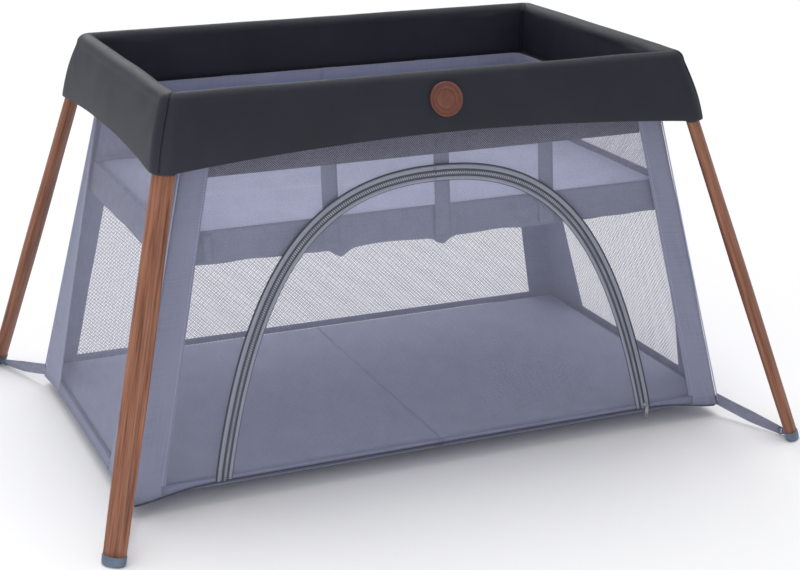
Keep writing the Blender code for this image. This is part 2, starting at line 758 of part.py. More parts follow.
def make_bassinet(side):
    """Half of the hanging bassinet: its padded base, and the wall round three sides of it."""
    label = name_of(SIDES, side)
    mat_top = BASSINET_BASE + BASSINET_MAT
    half_x, half_y = bassinet_reach(mat_top)
    room = BASSINET_WALL + BASSINET_CLEAR
    side_box(
        f"bassinet_base_{label}", side, CLEAR, half_x - room, half_y - room,
        BASSINET_BASE, mat_top, BASSINET,
    )
    work = bmesh.new()
    rings = []
    for z in (BASSINET_BASE, BASSINET_TOP):
        half_x, half_y = bassinet_reach(z)
        path = [(CLEAR, -half_y), (half_x, -half_y), (half_x, half_y), (CLEAR, half_y)]
        rings.append([work.verts.new((side * x, y, z)) for x, y in path])
    for a, b, c, d in zip(rings[0], rings[0][1:], rings[1][1:], rings[1]):
        work.faces.new((a, b, c, d) if side > 0 else (d, c, b, a))
    mesh = bpy.data.meshes.new(f"bassinet_wall_{label}")
    work.to_mesh(mesh)
    work.free()
    wall = bpy.data.objects.new(f"bassinet_wall_{label}", mesh)
    shell = wall.modifiers.new("Wall", "SOLIDIFY")
    shell.thickness = BASSINET_WALL
    shell.offset = -1.0
    shell.use_even_offset = True
    return keep(wall, BASSINET)


# ---------------------------------------------------------------- badge and zip

def make_badge():
    """Round leather badge on the front cover, over the hub."""
    z = HEIGHT - BADGE_DROP
    lean = math.atan(SPLAY_Y)
    out = Vector((0.0, -math.cos(lean), math.sin(lean)))
    on_face = Vector((0.0, -outer_y(z), z))
    near = on_face + out * CLEAR
    return keep(rod("leather_badge", near, near + out * BADGE_WALL, BADGE_DIAMETER / 2, 32), LEATHER)


def zip_foot():
    """The outer face of the front panel at the door's right foot."""
    z = BODY_BOTTOM + DOOR_SILL + PULL_RISE
    return Vector((DOOR_WIDTH / 2 + PULL_SIDE, -body_y(z), z))


def make_zip_pull():
    """Pull that hangs from the zip's slider, which stops at the arch's right foot."""
    foot = zip_foot()
    y = foot.y - SLIDER_DEPTH
    low = (foot.x - PULL_WIDTH / 2, y - PULL_WALL, foot.z - PULL_LENGTH)
    high = (foot.x + PULL_WIDTH / 2, y, foot.z)
    return keep(block("zip_pull", low, high), ZIP)


# ---------------------------------------------------------------- joint axes

def carry(name, place, labels, above=None):
    """An empty on a joint's axis, with the pieces that move about it as its children."""
    empty = bpy.data.objects.new(name, None)
    empty.empty_display_size = HUB_PITCH
    PARTS.objects.link(empty)
    empty.location = Vector(place)
    if above:
        empty.parent = above
        empty.location = Vector(place) - above.matrix_world.translation
    bpy.context.view_layer.update()
    for label in labels:
        piece = PARTS.objects[label]
        piece.parent = empty
        piece.matrix_parent_inverse = empty.matrix_world.inverted()
    return empty


def half_frame(side):
    """The names of all that folds with one half of the frame and isn't on a joint of its own."""
    long_sides = ("rail", "corner", "pad", "panel")
    labels = [f"{end}_{kind}_{side}" for end in ENDS for kind in long_sides]
    labels += [f"end_{kind}_{side}" for kind in ("rail", "pad", "panel")]
    labels += [f"{kind}_{side}" for kind in ("cover", "floor", "mattress", "bassinet_base", "bassinet_wall")]
    return labels + [f"strap_{end}_{side}" for end in ENDS]


def carry_all():
    """The frame folds at two axes of the hubs, and legs, doors, buttons and zip pull hang from it."""
    left = carry("left_half", (0.0, 0.0, 0.0), half_frame("left"))
    hubs = [f"{end}_hub" for end in ENDS] + [f"{end}_hub_pin_{side}" for end in ENDS for side in SIDES]
    middle = carry("fold_axis_left", (-HUB_X, 0.0, TUBE_Z), [*hubs, "leather_badge"], left)
    right = carry("fold_axis_right", (HUB_X, 0.0, TUBE_Z), half_frame("right"), middle)
    sill = BODY_BOTTOM + DOOR_SILL / math.sqrt(1.0 + LEAN_Y * LEAN_Y)
    for side_name, half in (("left", left), ("right", right)):
        carry(f"door_axis_{side_name}", (0.0, -body_y(sill), sill), [f"door_{side_name}"], half)
        for end_name, end in ENDS.items():
            tail = f"{end_name}_{side_name}"
            labels = [f"leg_{tail}", f"leg_head_{tail}", f"foot_{tail}"]
            carry(f"leg_axis_{tail}", pivot_point(SIDES[side_name], end), labels, half)
    for end_name, end in ENDS.items():
        labels = [f"{end_name}_release_button"]
        carry(f"{end_name}_button_slide", (0.0, end * RAIL_Y, TUBE_Z), labels, middle)
    foot = zip_foot()
    carry("zip_pull_axis", (foot.x, foot.y - SLIDER_DEPTH - PULL_WALL / 2, foot.z), ["zip_pull"], right)


# ---------------------------------------------------------------- assembly

for side_value in SIDES.values():
    make_end_rail(side_value)
    make_sleeves(side_value)
    make_cover(side_value)
    make_front_panel(side_value)
    make_back_panel(side_value)
    make_end_panel(side_value)
    make_floor(side_value)
    make_door(side_value)
    make_bassinet(side_value)
    for end_value in ENDS.values():
        make_long_rail(side_value, end_value)
        make_corner(side_value, end_value)
        make_leg(side_value, end_value)
        make_strap(side_value, end_value)
for end_value in ENDS.values():
    make_hub(end_value)
    make_button(end_value)
make_badge()
make_zip_pull()
carry_all()
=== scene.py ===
"""Folding playpen: charcoal padded top rail, walnut legs, lavender fabric body with an arched zip door."""

import math

import bmesh
import bpy
from mathutils import Matrix, Vector, noise
from mathutils.geometry import interpolate_bezier


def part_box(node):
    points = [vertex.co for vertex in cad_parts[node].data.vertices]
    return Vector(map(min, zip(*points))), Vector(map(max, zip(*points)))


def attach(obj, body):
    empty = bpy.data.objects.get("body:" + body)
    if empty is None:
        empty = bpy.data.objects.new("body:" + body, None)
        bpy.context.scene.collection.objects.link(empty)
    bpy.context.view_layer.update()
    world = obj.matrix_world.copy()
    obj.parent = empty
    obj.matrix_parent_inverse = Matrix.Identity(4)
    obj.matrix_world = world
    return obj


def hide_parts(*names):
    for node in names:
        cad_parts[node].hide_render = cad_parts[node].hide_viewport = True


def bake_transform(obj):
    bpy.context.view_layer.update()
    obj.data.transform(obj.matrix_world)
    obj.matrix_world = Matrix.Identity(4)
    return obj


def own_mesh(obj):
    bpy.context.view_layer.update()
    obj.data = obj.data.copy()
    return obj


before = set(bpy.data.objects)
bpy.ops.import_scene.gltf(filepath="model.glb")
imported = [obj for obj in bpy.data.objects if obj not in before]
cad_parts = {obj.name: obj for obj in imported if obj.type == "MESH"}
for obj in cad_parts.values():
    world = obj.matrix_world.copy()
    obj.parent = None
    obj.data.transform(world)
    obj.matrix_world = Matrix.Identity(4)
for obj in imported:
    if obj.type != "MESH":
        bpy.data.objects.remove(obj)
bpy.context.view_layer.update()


# ---------------------------------------------------------------- studio
# A white studio floor that runs out of view, one large soft key from high on the left and behind,
# and a dim even sky, with the camera a little above the rail and to the left of the front.

def place_in_scene(thing):
    """Links an object into the scene."""
    bpy.context.scene.collection.objects.link(thing)
    return thing


def linear(code):
    """An sRGB hex colour as linear red, green, blue and alpha."""
    values = [int(code[i:i + 2], 16) / 255 for i in (1, 3, 5)]
    return (*(v / 12.92 if v <= 0.04045 else ((v + 0.055) / 1.055) ** 2.4 for v in values), 1.0)


def add(tree, kind, inputs=None, **settings):
    """Adds a node with its settings; an input is a value, or another node's output to link."""
    made = tree.nodes.new("ShaderNode" + kind)
    for name, value in settings.items():
        setattr(made, name, value)
    for socket, value in (inputs or {}).items():
        if isinstance(value, bpy.types.NodeSocket):
            tree.links.new(value, made.inputs[socket])
        else:
            made.inputs[socket].default_value = value
    return made


def new_material(name, **sockets):
    """A material whose shader's sockets hold the values that are the same all over."""
    made = bpy.data.materials.new(name)
    made.use_nodes = True
    tree = made.node_tree
    tree.nodes.clear()
    shader = add(tree, "BsdfPrincipled", {key.replace("_", " "): value for key, value in sockets.items()})
    add(tree, "OutputMaterial", {"Surface": shader.outputs["BSDF"]})
    return made, tree, shader


def ramp(tree, factor, *stops):
    """A colour ramp of (position, hex) stops."""
    made = add(tree, "ValToRGB", {"Fac": factor})
    points = made.color_ramp.elements
    while len(points) < len(stops):
        points.new(0.5)
    for point, (position, code) in zip(points, stops):
        point.position = position
        point.color = linear(code)
    return made.outputs["Color"]


def bump(tree, shader, height, distance, strength=1.0):
    """Raises the surface by a height, which is 0 to 1 over a distance in metres."""
    made = add(tree, "Bump", {"Height": height, "Distance": distance, "Strength": strength})
    tree.links.new(made.outputs["Normal"], shader.inputs["Normal"])


VIEW_TURN = -22.8
VIEW_DOWN = -18.5
VIEW_TARGET = Vector((0.02, 0.0, 0.21))
VIEW_DISTANCE = 2.97
view_back = Matrix.Rotation(math.radians(VIEW_TURN), 3, "Z")
view_back = view_back @ Matrix.Rotation(math.radians(VIEW_DOWN), 3, "X") @ Vector((0.0, -1.0, 0.0))
camera = bpy.data.objects.new("camera", bpy.data.cameras.new("camera"))
camera.data.lens = 76.5
camera.data.shift_x = 0.02
camera.location = VIEW_TARGET + VIEW_DISTANCE * view_back
camera.rotation_euler = view_back.to_track_quat("Z", "Y").to_euler()
place_in_scene(camera)
bpy.context.scene.camera = camera
bpy.context.scene.view_settings.view_transform = "Standard"

world = bpy.data.worlds.new("sky")
world.use_nodes = True
sky = world.node_tree.nodes["Background"]
sky.inputs["Color"].default_value = linear("#fbfbff")
sky.inputs["Strength"].default_value = 0.53
bpy.context.scene.world = world


def sun(name, strength, spread, towards):
    """A soft studio lamp that lights the whole floor evenly. towards points from the object to it."""
    lamp = bpy.data.lights.new(name, "SUN")
    lamp.energy = strength
    lamp.angle = math.radians(spread)
    holder = bpy.data.objects.new(name, lamp)
    holder.rotation_euler = Vector(towards).to_track_quat("Z", "Y").to_euler()
    place_in_scene(holder)


sun("key", 1.55, 55, (0.06, 0.36, 1.0))
sun("rim", 0.45, 25, (0.15, 1.0, 0.38))
FILL_TARGET = Vector((-0.4, -0.3, 0.2))
fill = bpy.data.lights.new("left_fill", "AREA")
fill.energy = 9.5
fill.size = 1.4
fill_holder = bpy.data.objects.new("left_fill", fill)
fill_holder.location = (-1.4, -1.7, 0.6)
fill_holder.rotation_euler = (fill_holder.location - FILL_TARGET).to_track_quat("Z", "Y").to_euler()
place_in_scene(fill_holder)

studio, tree, shader = new_material("white_paint", Roughness=0.9)
mottle = add(tree, "TexNoise", {"Scale": 3.0, "Detail": 2.0})
paper = ramp(tree, mottle.outputs["Fac"], (0.3, "#fdfdfd"), (0.7, "#ffffff"))
tree.links.new(paper, shader.inputs["Base Color"])
sheet = bmesh.new()
bmesh.ops.create_grid(sheet, x_segments=8, y_segments=8, size=30.0)
floor_mesh = bpy.data.meshes.new("studio_floor")
sheet.to_mesh(floor_mesh)
sheet.free()
floor_mesh.materials.append(studio)
studio_floor = bpy.data.objects.new("studio_floor", floor_mesh)
studio_floor.location.z = -0.0005
place_in_scene(studio_floor)


# ---------------------------------------------------------------- inner frame
# Extruded aluminium tubes in foam sleeves, with moulded glass-filled nylon fittings and hubs and
# turned steel pins. All of it hides under the cover and shows from below and when it folds.

def tube_aluminium():
    """Anodised extrusion: fine lines along the tube and a soft, even gloss."""
    made, tree, shader = new_material("anodised_aluminium", Metallic=1.0)
    place = add(tree, "TexCoord").outputs["Object"]
    lines = add(tree, "Mapping", {"Vector": place, "Scale": (4.0, 4.0, 1800.0)})
    grain = add(tree, "TexNoise", {"Vector": lines.outputs["Vector"], "Scale": 1.0, "Detail": 3.0})
    silver = ramp(tree, grain.outputs["Fac"], (0.3, "#a9abb0"), (0.7, "#c6c8cc"))
    tree.links.new(silver, shader.inputs["Base Color"])
    rough = add(tree, "MapRange", {"Value": grain.outputs["Fac"], "To Min": 0.3, "To Max": 0.42})
    tree.links.new(rough.outputs["Result"], shader.inputs["Roughness"])
    bump(tree, shader, grain.outputs["Fac"], 0.00003)
    return made


def moulded(name, dark, light, grit, roughness):
    """Injection-moulded nylon with a spark-eroded grain of about grit metres."""
    made, tree, shader = new_material(name, Roughness=roughness, IOR=1.53)
    place = add(tree, "TexCoord").outputs["Object"]
    grain = add(tree, "TexNoise", {"Vector": place, "Scale": 1.0 / grit, "Detail": 2.0})
    cloud = add(tree, "TexNoise", {"Vector": place, "Scale": 35.0, "Detail": 3.0})
    tree.links.new(ramp(tree, cloud.outputs["Fac"], (0.35, dark), (0.68, light)), shader.inputs["Base Color"])
    bump(tree, shader, grain.outputs["Fac"], 0.00006)
    return made


def foam_rubber():
    """Open-cell foam: small pits all over and no gloss."""
    made, tree, shader = new_material("grey_foam", Roughness=0.95)
    place = add(tree, "TexCoord").outputs["Object"]
    cells = add(tree, "TexVoronoi", {"Vector": place, "Scale": 900.0})
    grey = ramp(tree, cells.outputs["Distance"], (0.0, "#77787c"), (0.6, "#a2a3a7"))
    tree.links.new(grey, shader.inputs["Base Color"])
    bump(tree, shader, cells.outputs["Distance"], 0.0003)
    return made


aluminium = tube_aluminium()
black_nylon = moulded("black_nylon", "#141517", "#1d1e21", 0.0006, 0.5)
pin_steel = moulded("turned_steel", "#8d8f92", "#a7a9ac", 0.0009, 0.32)
pin_steel.node_tree.nodes["Principled BSDF"].inputs["Metallic"].default_value = 1.0
foam = foam_rubber()
for name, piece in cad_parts.items():
    if "_rail_" in name:
        skin = aluminium
    elif "_pin_" in name:
        skin = pin_steel
    elif "_pad_" in name:
        skin = foam
    else:
        skin = black_nylon
    piece.data.materials.clear()
    piece.data.materials.append(skin)


# ---------------------------------------------------------------- legs
# Four oval beech legs stained walnut under a satin lacquer, pressed into nylon heads at the top, each
# with a black ferrule where it leaves the cover and a slate plastic cap on its foot.

SIDES = {"left": -1, "right": 1}
ENDS = {"front": -1, "back": 1}
LEG_WIDE = 0.037
LEG_THIN = 0.020
LEG_SWELL = ((0.0, 1.02), (0.12, 1.06), (0.45, 1.14), (0.8, 1.04), (1.0, 1.0))
FERRULE_LOW = 0.5270
FERRULE_HIGH = 0.5400


def grid(name, rows, wrap=False, caps=False, uv=None):
    """A smooth surface through rows of points, with a UV map in metres so that patterns keep their size."""
    work = bmesh.new()
    layer = work.loops.layers.uv.new("metres")
    lines = [[work.verts.new(point) for point in row] for row in rows]
    count = len(lines[0])
    spans = count if wrap else count - 1
    middle = lines[len(lines) // 2]
    across = [0.0]
    for i in range(spans):
        across.append(across[-1] + (middle[(i + 1) % count].co - middle[i].co).length)
    along = [0.0]
    for low, high in zip(lines, lines[1:]):
        along.append(along[-1] + (high[0].co - low[0].co).length)
    for r, (low, high) in enumerate(zip(lines, lines[1:])):
        for c in range(spans):
            d = (c + 1) % count
            face = work.faces.new((low[c], low[d], high[d], high[c]))
            face.smooth = True
            square = ((c, r), (c + 1, r), (c + 1, r + 1), (c, r + 1))
            for loop, (i, j) in zip(face.loops, square):
                loop[layer].uv = uv(loop.vert.co) if uv else (across[i], along[j])
    if caps:
        work.faces.new(list(reversed(lines[0])))
        work.faces.new(lines[-1])
    mesh = bpy.data.meshes.new(name)
    work.to_mesh(mesh)
    work.free()
    return place_in_scene(bpy.data.objects.new(name, mesh))


def fit(piece, skin, slot, body, *nodes):
    """Gives a piece its material, and makes it ride on a body and stand for CAD nodes."""
    piece.data.materials.append(skin)
    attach(piece, body)
    if nodes:
        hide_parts(*nodes)
    return piece


def stained_beech():
    """Long fibres along the leg, broad darker figure between them and short pores, under satin lacquer."""
    made, tree, shader = new_material("walnut_stained_beech", IOR=1.45, Coat_Weight=0.06, Coat_Roughness=0.35)
    place = add(tree, "Attribute", attribute_name="grain").outputs["Vector"]
    long_way = add(tree, "Mapping", {"Vector": place, "Scale": (1.0, 1.0, 0.035)}).outputs["Vector"]
    fibres = add(tree, "TexNoise", {"Vector": long_way, "Scale": 330.0, "Detail": 6.0, "Roughness": 0.62})
    figure = add(
        tree, "TexNoise",
        {"Vector": long_way, "Scale": 75.0, "Detail": 3.0, "Roughness": 0.5, "Distortion": 1.4},
    )
    both = add(tree, "Mix", {"Factor": 0.46, "A": fibres.outputs["Fac"], "B": figure.outputs["Fac"]})
    colour = ramp(
        tree, both.outputs["Result"],
        (0.36, "#4f2d20"), (0.43, "#764731"), (0.52, "#8d5c44"), (0.64, "#a57159"),
    )
    tree.links.new(colour, shader.inputs["Base Color"])
    pore_way = add(tree, "Mapping", {"Vector": place, "Scale": (1.0, 1.0, 0.06)}).outputs["Vector"]
    pits = add(tree, "TexNoise", {"Vector": pore_way, "Scale": 1400.0, "Detail": 1.0})
    rough = add(tree, "MapRange", {"Value": pits.outputs["Fac"], "To Min": 0.46, "To Max": 0.64})
    tree.links.new(rough.outputs["Result"], shader.inputs["Roughness"])
    bump(tree, shader, pits.outputs["Fac"], 0.00012, 0.6)
    return made


def node_centre(node, top):
    """The middle of the highest or lowest ring of a CAD node's points."""
    points = [v.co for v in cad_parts[node].data.vertices]
    limit = max(p.z for p in points) if top else min(p.z for p in points)
    ring = [p for p in points if abs(p.z - limit) < 0.0005]
    return sum(ring, Vector()) / len(ring)


def leg_line(side_name, end_name):
    """The leg's centre line as a function of height."""
    low = node_centre(f"leg_{end_name}_{side_name}", False)
    high = node_centre(f"leg_{end_name}_{side_name}", True)
    return lambda z: low.lerp(high, (z - low.z) / (high.z - low.z))


def leg_ring(line, turn, z, z_low, z_high, grow=0.0, steps=40):
    """The leg's oval at one height, its wide way round the corner."""
    up = (z - z_low) / (z_high - z_low)
    size = 1.0
    for (low_at, low_size), (high_at, high_size) in zip(LEG_SWELL, LEG_SWELL[1:]):
        if low_at <= up <= high_at:
            share = (up - low_at) / (high_at - low_at)
            share = share * share * (3 - 2 * share)
            size = low_size + (high_size - low_size) * share
    wide = LEG_WIDE / 2 * size + grow
    thin = LEG_THIN / 2 * size + grow
    centre = line(z)
    ring = []
    for step in range(steps):
        angle = math.tau * step / steps
        spot = Vector((wide * math.cos(angle), thin * math.sin(angle), 0.0))
        spot.rotate(Matrix.Rotation(turn, 3, "Z"))
        ring.append(centre + spot)
    return ring


beech = stained_beech()
slate_nylon = moulded("slate_nylon", "#566578", "#64758a", 0.0007, 0.48)
for side_name, side in SIDES.items():
    for end_name, end in ENDS.items():
        tail = f"{end_name}_{side_name}"
        body = f"{tail}_leg"
        line = leg_line(side_name, end_name)
        turn = math.radians(-45 * side * end)
        leg_low, leg_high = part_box(f"leg_{tail}")
        z_low, z_high = leg_low.z, leg_high.z
        heights = [z_low + (z_high - z_low) * i / 40 for i in range(41)]
        rings = [leg_ring(line, turn, z_low, z_low, z_high, -0.0012)]
        rings += [leg_ring(line, turn, z, z_low, z_high) for z in heights]
        rings.append(leg_ring(line, turn, z_high, z_low, z_high, -0.0012))
        leg = grid(f"wood_leg_{tail}", rings, wrap=True, caps=True)
        grain = leg.data.attributes.new("grain", "FLOAT_VECTOR", "POINT")
        for vertex, entry in zip(leg.data.vertices, grain.data):
            off_line = vertex.co - line(vertex.co.z)
            entry.vector = (off_line.x + 0.1 * side, off_line.y + 0.1 * end, vertex.co.z + 0.3 * side)
        fit(leg, beech, "walnut", body, f"leg_{tail}")

        ferrule_heights = (FERRULE_LOW, FERRULE_LOW + 0.001, FERRULE_HIGH - 0.001, FERRULE_HIGH)
        rings = [
            leg_ring(line, turn, z, z_low, z_high, grow)
            for z, grow in zip(ferrule_heights, (0.0002, 0.0011, 0.0011, 0.0002))
        ]
        fit(grid(f"ferrule_{tail}", rings, wrap=True), black_nylon, "nylon", body)

        foot_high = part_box(f"foot_{tail}")[1].z
        steps = (
            (0.0002, -0.0016), (0.0010, -0.0004), (0.0022, 0.0008), (0.0060, 0.0013),
            (foot_high - 0.0012, 0.0015), (foot_high - 0.0003, 0.0010), (foot_high, 0.0002),
        )
        rings = [leg_ring(line, turn, z, z_low, z_high, grow) for z, grow in steps]
        foot = grid(f"foot_cap_{tail}", rings, wrap=True, caps=True)
        fit(foot, slate_nylon, "foot_plastic", body, f"foot_{tail}")


# ---------------------------------------------------------------- fabric body: shape and cloths
# The body hangs from the rail and is pulled out at the bottom by straps to the feet. These give its
# leaning faces. Its cloths are a plain-woven polyester and a knitted net.

end_low, end_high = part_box("end_panel_left")
long_low, long_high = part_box("front_panel_left")
PANEL = 0.003
body_low = end_low.z
body_high = end_high.z
lean_x = (end_high.x - PANEL - end_low.x) / (body_high - body_low)
lean_y = (long_high.y - PANEL - long_low.y) / (body_high - body_low)


def body_x(z):
    """Half length of the body's outer face at a height."""
    return -end_low.x - lean_x * (z - body_low)


def body_y(z):
    return -long_low.y - lean_y * (z - body_low)


def woven(name, dark, light, thread, roughness=0.8, slub=0.5, sheen=0.15):
    """Plain-woven polyester: crossing threads, a few thicker ones and soft patches from handling."""
    made, tree, shader = new_material(
        name, Roughness=roughness, Sheen_Weight=sheen, Sheen_Roughness=0.45, IOR=1.5
    )
    place = add(tree, "UVMap", uv_map="metres").outputs["UV"]
    cross = add(tree, "VectorMath", {0: place, "Scale": math.tau / thread}, operation="SCALE")
    waves = add(tree, "VectorMath", {0: cross.outputs["Vector"]}, operation="SINE")
    parts = add(tree, "SeparateXYZ", {0: waves.outputs["Vector"]})
    weave = add(tree, "Math", {0: parts.outputs["X"], 1: parts.outputs["Y"]}, operation="MULTIPLY")
    warp_place = add(tree, "Mapping", {"Vector": place, "Scale": (380.0, 9.0, 1.0)})
    warp = add(tree, "TexNoise", {"Vector": warp_place.outputs["Vector"], "Scale": 1.0, "Detail": 3.0})
    weft_place = add(tree, "Mapping", {"Vector": place, "Scale": (9.0, 380.0, 1.0)})
    weft = add(tree, "TexNoise", {"Vector": weft_place.outputs["Vector"], "Scale": 1.0, "Detail": 3.0})
    patch = add(tree, "TexNoise", {"Vector": place, "Scale": 14.0, "Detail": 3.0})
    threads = add(tree, "Math", {0: warp.outputs["Fac"], 1: weft.outputs["Fac"]}, operation="ADD")
    share = add(tree, "Mix", {"Factor": slub, "A": patch.outputs["Fac"], "B": threads.outputs["Value"]})
    share.data_type = "FLOAT"
    dye = ramp(tree, share.outputs["Result"], (0.42, dark), (0.78, light))
    tree.links.new(dye, shader.inputs["Base Color"])
    bump(tree, shader, weave.outputs["Value"], 0.00022, 0.8)
    return made


def net(name, dark, light, hole, thread_share):
    """Knitted net: two sets of slanting threads round open diamonds, with knots where they cross."""
    made, tree, shader = new_material(name, Roughness=0.85, Sheen_Weight=0.1)
    place = add(tree, "UVMap", uv_map="metres").outputs["UV"]
    slant = add(tree, "Mapping", {"Vector": place, "Rotation": (0.0, 0.0, math.radians(45))})
    cross = add(tree, "VectorMath", {0: slant.outputs["Vector"], "Scale": math.pi / hole}, operation="SCALE")
    waves = add(tree, "VectorMath", {0: cross.outputs["Vector"]}, operation="SINE")
    sizes = add(tree, "VectorMath", {0: waves.outputs["Vector"]}, operation="ABSOLUTE")
    parts = add(tree, "SeparateXYZ", {0: sizes.outputs["Vector"]})
    nearest = add(tree, "Math", {0: parts.outputs["X"], 1: parts.outputs["Y"]}, operation="MINIMUM")
    cover = add(
        tree, "MapRange",
        {"Value": nearest.outputs["Value"], "From Min": thread_share - 0.06, "From Max": thread_share + 0.06,
         "To Min": 1.0, "To Max": 0.0},
    )
    tree.links.new(cover.outputs["Result"], shader.inputs["Alpha"])
    patch = add(tree, "TexNoise", {"Vector": place, "Scale": 40.0, "Detail": 3.0})
    tree.links.new(ramp(tree, patch.outputs["Fac"], (0.35, dark), (0.7, light)), shader.inputs["Base Color"])
    bump(tree, shader, cover.outputs["Result"], 0.0004, 0.6)
    return made


# Threads of 0.4 mm, drawn at 1.4 to 1.8 mm so that they show.
lavender = woven("lavender_polyester", "#8387a0", "#9397b0", 0.0016)
lavender_dark = woven("grey_lavender_tape", "#787c95", "#888ca6", 0.0014)
slate_lavender = woven("slate_lavender_cotton", "#757990", "#84889f", 0.0016)
lavender_pale = woven("pale_lavender_cotton", "#aeb2d0", "#bcc0dc", 0.0018, 0.9, 0.4)
mat_cloth = woven("mat_polyester", "#9094ad", "#9da1ba", 0.0018, 0.85, 0.4)
# The same net all round, with holes of about 2 mm, too fine to show. It is drawn coarser: at 2.6 mm on
# the front, and at 5 mm on the back and ends, so that it still reads as net through the front.
front_mesh = net("front_net", "#a3a5bb", "#b0b2c9", 0.0026, 0.25)
body_net = net("body_net", "#a4a6be", "#b5b7ce", 0.0050, 0.31)
fine_net = net("bassinet_net", "#b0b2ca", "#bfc1d9", 0.0026, 0.20)


def gather(piece):
    """Gives the piece its own copy of its mesh."""
    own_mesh(piece)


def thicken(piece, wall, offset=0.0):
    """Gives a sheet the thickness of its cloth."""
    shell = piece.modifiers.new("cloth", "SOLIDIFY")
    shell.thickness = wall
    shell.offset = offset


def declare(piece, width, length, held, rests, cut=1.0):
    """Takes the rectangle that a sheet was cut from, and how much of it a shaped piece keeps, and does
    nothing with them.

    A tape under 10 mm wide is trim."""
    if width < 0.01:
        return


def ripple(point, size, reach):
    """A soft unevenness of the cloth, up to reach, with waves of about size."""
    return reach * noise.noise(point / size)


def cord_along(name, points, radius, cyclic=False):
    """A round sewn cord along a line, as a mesh."""
    rows = []
    sides = 8
    points = [Vector(p) for p in points]
    for i, point in enumerate(points):
        ahead = points[min(i + 1, len(points) - 1)] - points[max(i - 1, 0)]
        turn = ahead.to_track_quat("Z", "Y")
        angles = [math.tau * k / sides for k in range(sides)]
        ring = [Vector((radius * math.cos(a), radius * math.sin(a), 0.0)) for a in angles]
        rows.append([point + turn @ spot for spot in ring])
    return grid(name, rows, wrap=True, caps=True)


def block(length, width, height):
    """The points and faces of a small block, such as a stitch."""
    points = [Vector((x * length / 2, y * width / 2, z * height / 2)) for z in (-1, 1) for x, y in
              ((-1, -1), (1, -1), (1, 1), (-1, 1))]
    faces = [(3, 2, 1, 0), (4, 5, 6, 7), (0, 1, 5, 4), (1, 2, 6, 5), (2, 3, 7, 6), (3, 0, 4, 7)]
    return points, faces


def bead(length, width, height):
    """The points and faces of a small round bead, such as a zip's tooth."""
    work = bmesh.new()
    bmesh.ops.create_uvsphere(work, u_segments=8, v_segments=5, radius=0.5)
    points = [Vector((v.co.x * length, v.co.y * width, v.co.z * height)) for v in work.verts]
    faces = [[v.index for v in face.verts] for face in work.faces]
    work.free()
    return points, faces


def row_of(name, points, out, pitch, shape, first=0.5):
    """Small shapes in a row along a line, on a face whose outward direction is given."""
    points = [Vector(p) for p in points]
    marks = [0.0]
    for a, b in zip(points, points[1:]):
        marks.append(marks[-1] + (b - a).length)
    all_points, all_faces = [], []
    face_out = Vector(out).normalized()
    place = pitch * first
    i = 0
    while place < marks[-1]:
        while marks[i + 1] < place:
            i += 1
        share = (place - marks[i]) / max(marks[i + 1] - marks[i], 1e-9)
        centre = points[i].lerp(points[i + 1], share)
        along = (points[i + 1] - points[i]).normalized()
        across = face_out.cross(along).normalized()
        turn = Matrix((along, across, along.cross(across))).transposed()
        base = len(all_points)
        all_points += [centre + turn @ point for point in shape[0]]
        all_faces += [[base + k for k in face] for face in shape[1]]
        place += pitch
    mesh = bpy.data.meshes.new(name)
    mesh.from_pydata(all_points, [], all_faces)
    return place_in_scene(bpy.data.objects.new(name, mesh))


def stitches(name, points, out, pitch=0.0045, length=0.0028, thick=0.0005):
    """A row of sewn stitches along a line on a face."""
    return row_of(name, points, out, pitch, block(length, thick, thick))


# ---------------------------------------------------------------- top rail cover
# A padded sleeve of tightly woven charcoal polyester over foam, sewn from four sides that meet in a
# seam down each corner. Its outer skirt flares over the legs and its inner one ends in a gathered band.

cover_low, cover_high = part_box("cover_right")
tube_low, tube_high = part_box("end_rail_right")
tube_z = (tube_low.z + tube_high.z) / 2
rail_x = (tube_low.x + tube_high.x) / 2
long_tube_low, long_tube_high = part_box("front_rail_right")
rail_y = -(long_tube_low.y + long_tube_high.y) / 2
COVER_HALF = cover_high.z - tube_z
COVER_CORNER = 0.026
INNER_LOW = 0.5485
COVER_CLOTH = 0.002
COVER_PUFF = 0.0048
flare_x = (cover_high.x - rail_x - COVER_HALF) / (tube_z - cover_low.z)
flare_y = (cover_high.y - rail_y - COVER_HALF) / (tube_z - cover_low.z)


def charcoal_cloth():
    """Close-woven polyester with a faint bluish sheen on its crests and a dry, matt body."""
    made, tree, shader = new_material(
        "charcoal_polyester", Roughness=0.52, Sheen_Weight=0.03, Sheen_Roughness=0.25,
        Sheen_Tint=linear("#a9b2e0"), IOR=1.38,
    )
    place = add(tree, "UVMap", uv_map="metres").outputs["UV"]
    # Threads of 0.35 mm, drawn at 1.3 mm so that they show.
    cross = add(tree, "VectorMath", {0: place, "Scale": math.tau / 0.0013}, operation="SCALE")
    waves = add(tree, "VectorMath", {0: cross.outputs["Vector"]}, operation="SINE")
    parts = add(tree, "SeparateXYZ", {0: waves.outputs["Vector"]})
    weave = add(tree, "Math", {0: parts.outputs["X"], 1: parts.outputs["Y"]}, operation="MULTIPLY")
    patch = add(tree, "TexNoise", {"Vector": place, "Scale": 9.0, "Detail": 4.0, "Roughness": 0.6})
    fleck = add(tree, "TexNoise", {"Vector": place, "Scale": 700.0, "Detail": 2.0})
    both = add(tree, "Mix", {"Factor": 0.35, "A": patch.outputs["Fac"], "B": fleck.outputs["Fac"]})
    colour = ramp(tree, both.outputs["Result"], (0.35, "#1d1f28"), (0.65, "#262833"))
    tree.links.new(colour, shader.inputs["Base Color"])
    bump(tree, shader, weave.outputs["Value"], 0.00015, 0.7)
    return made


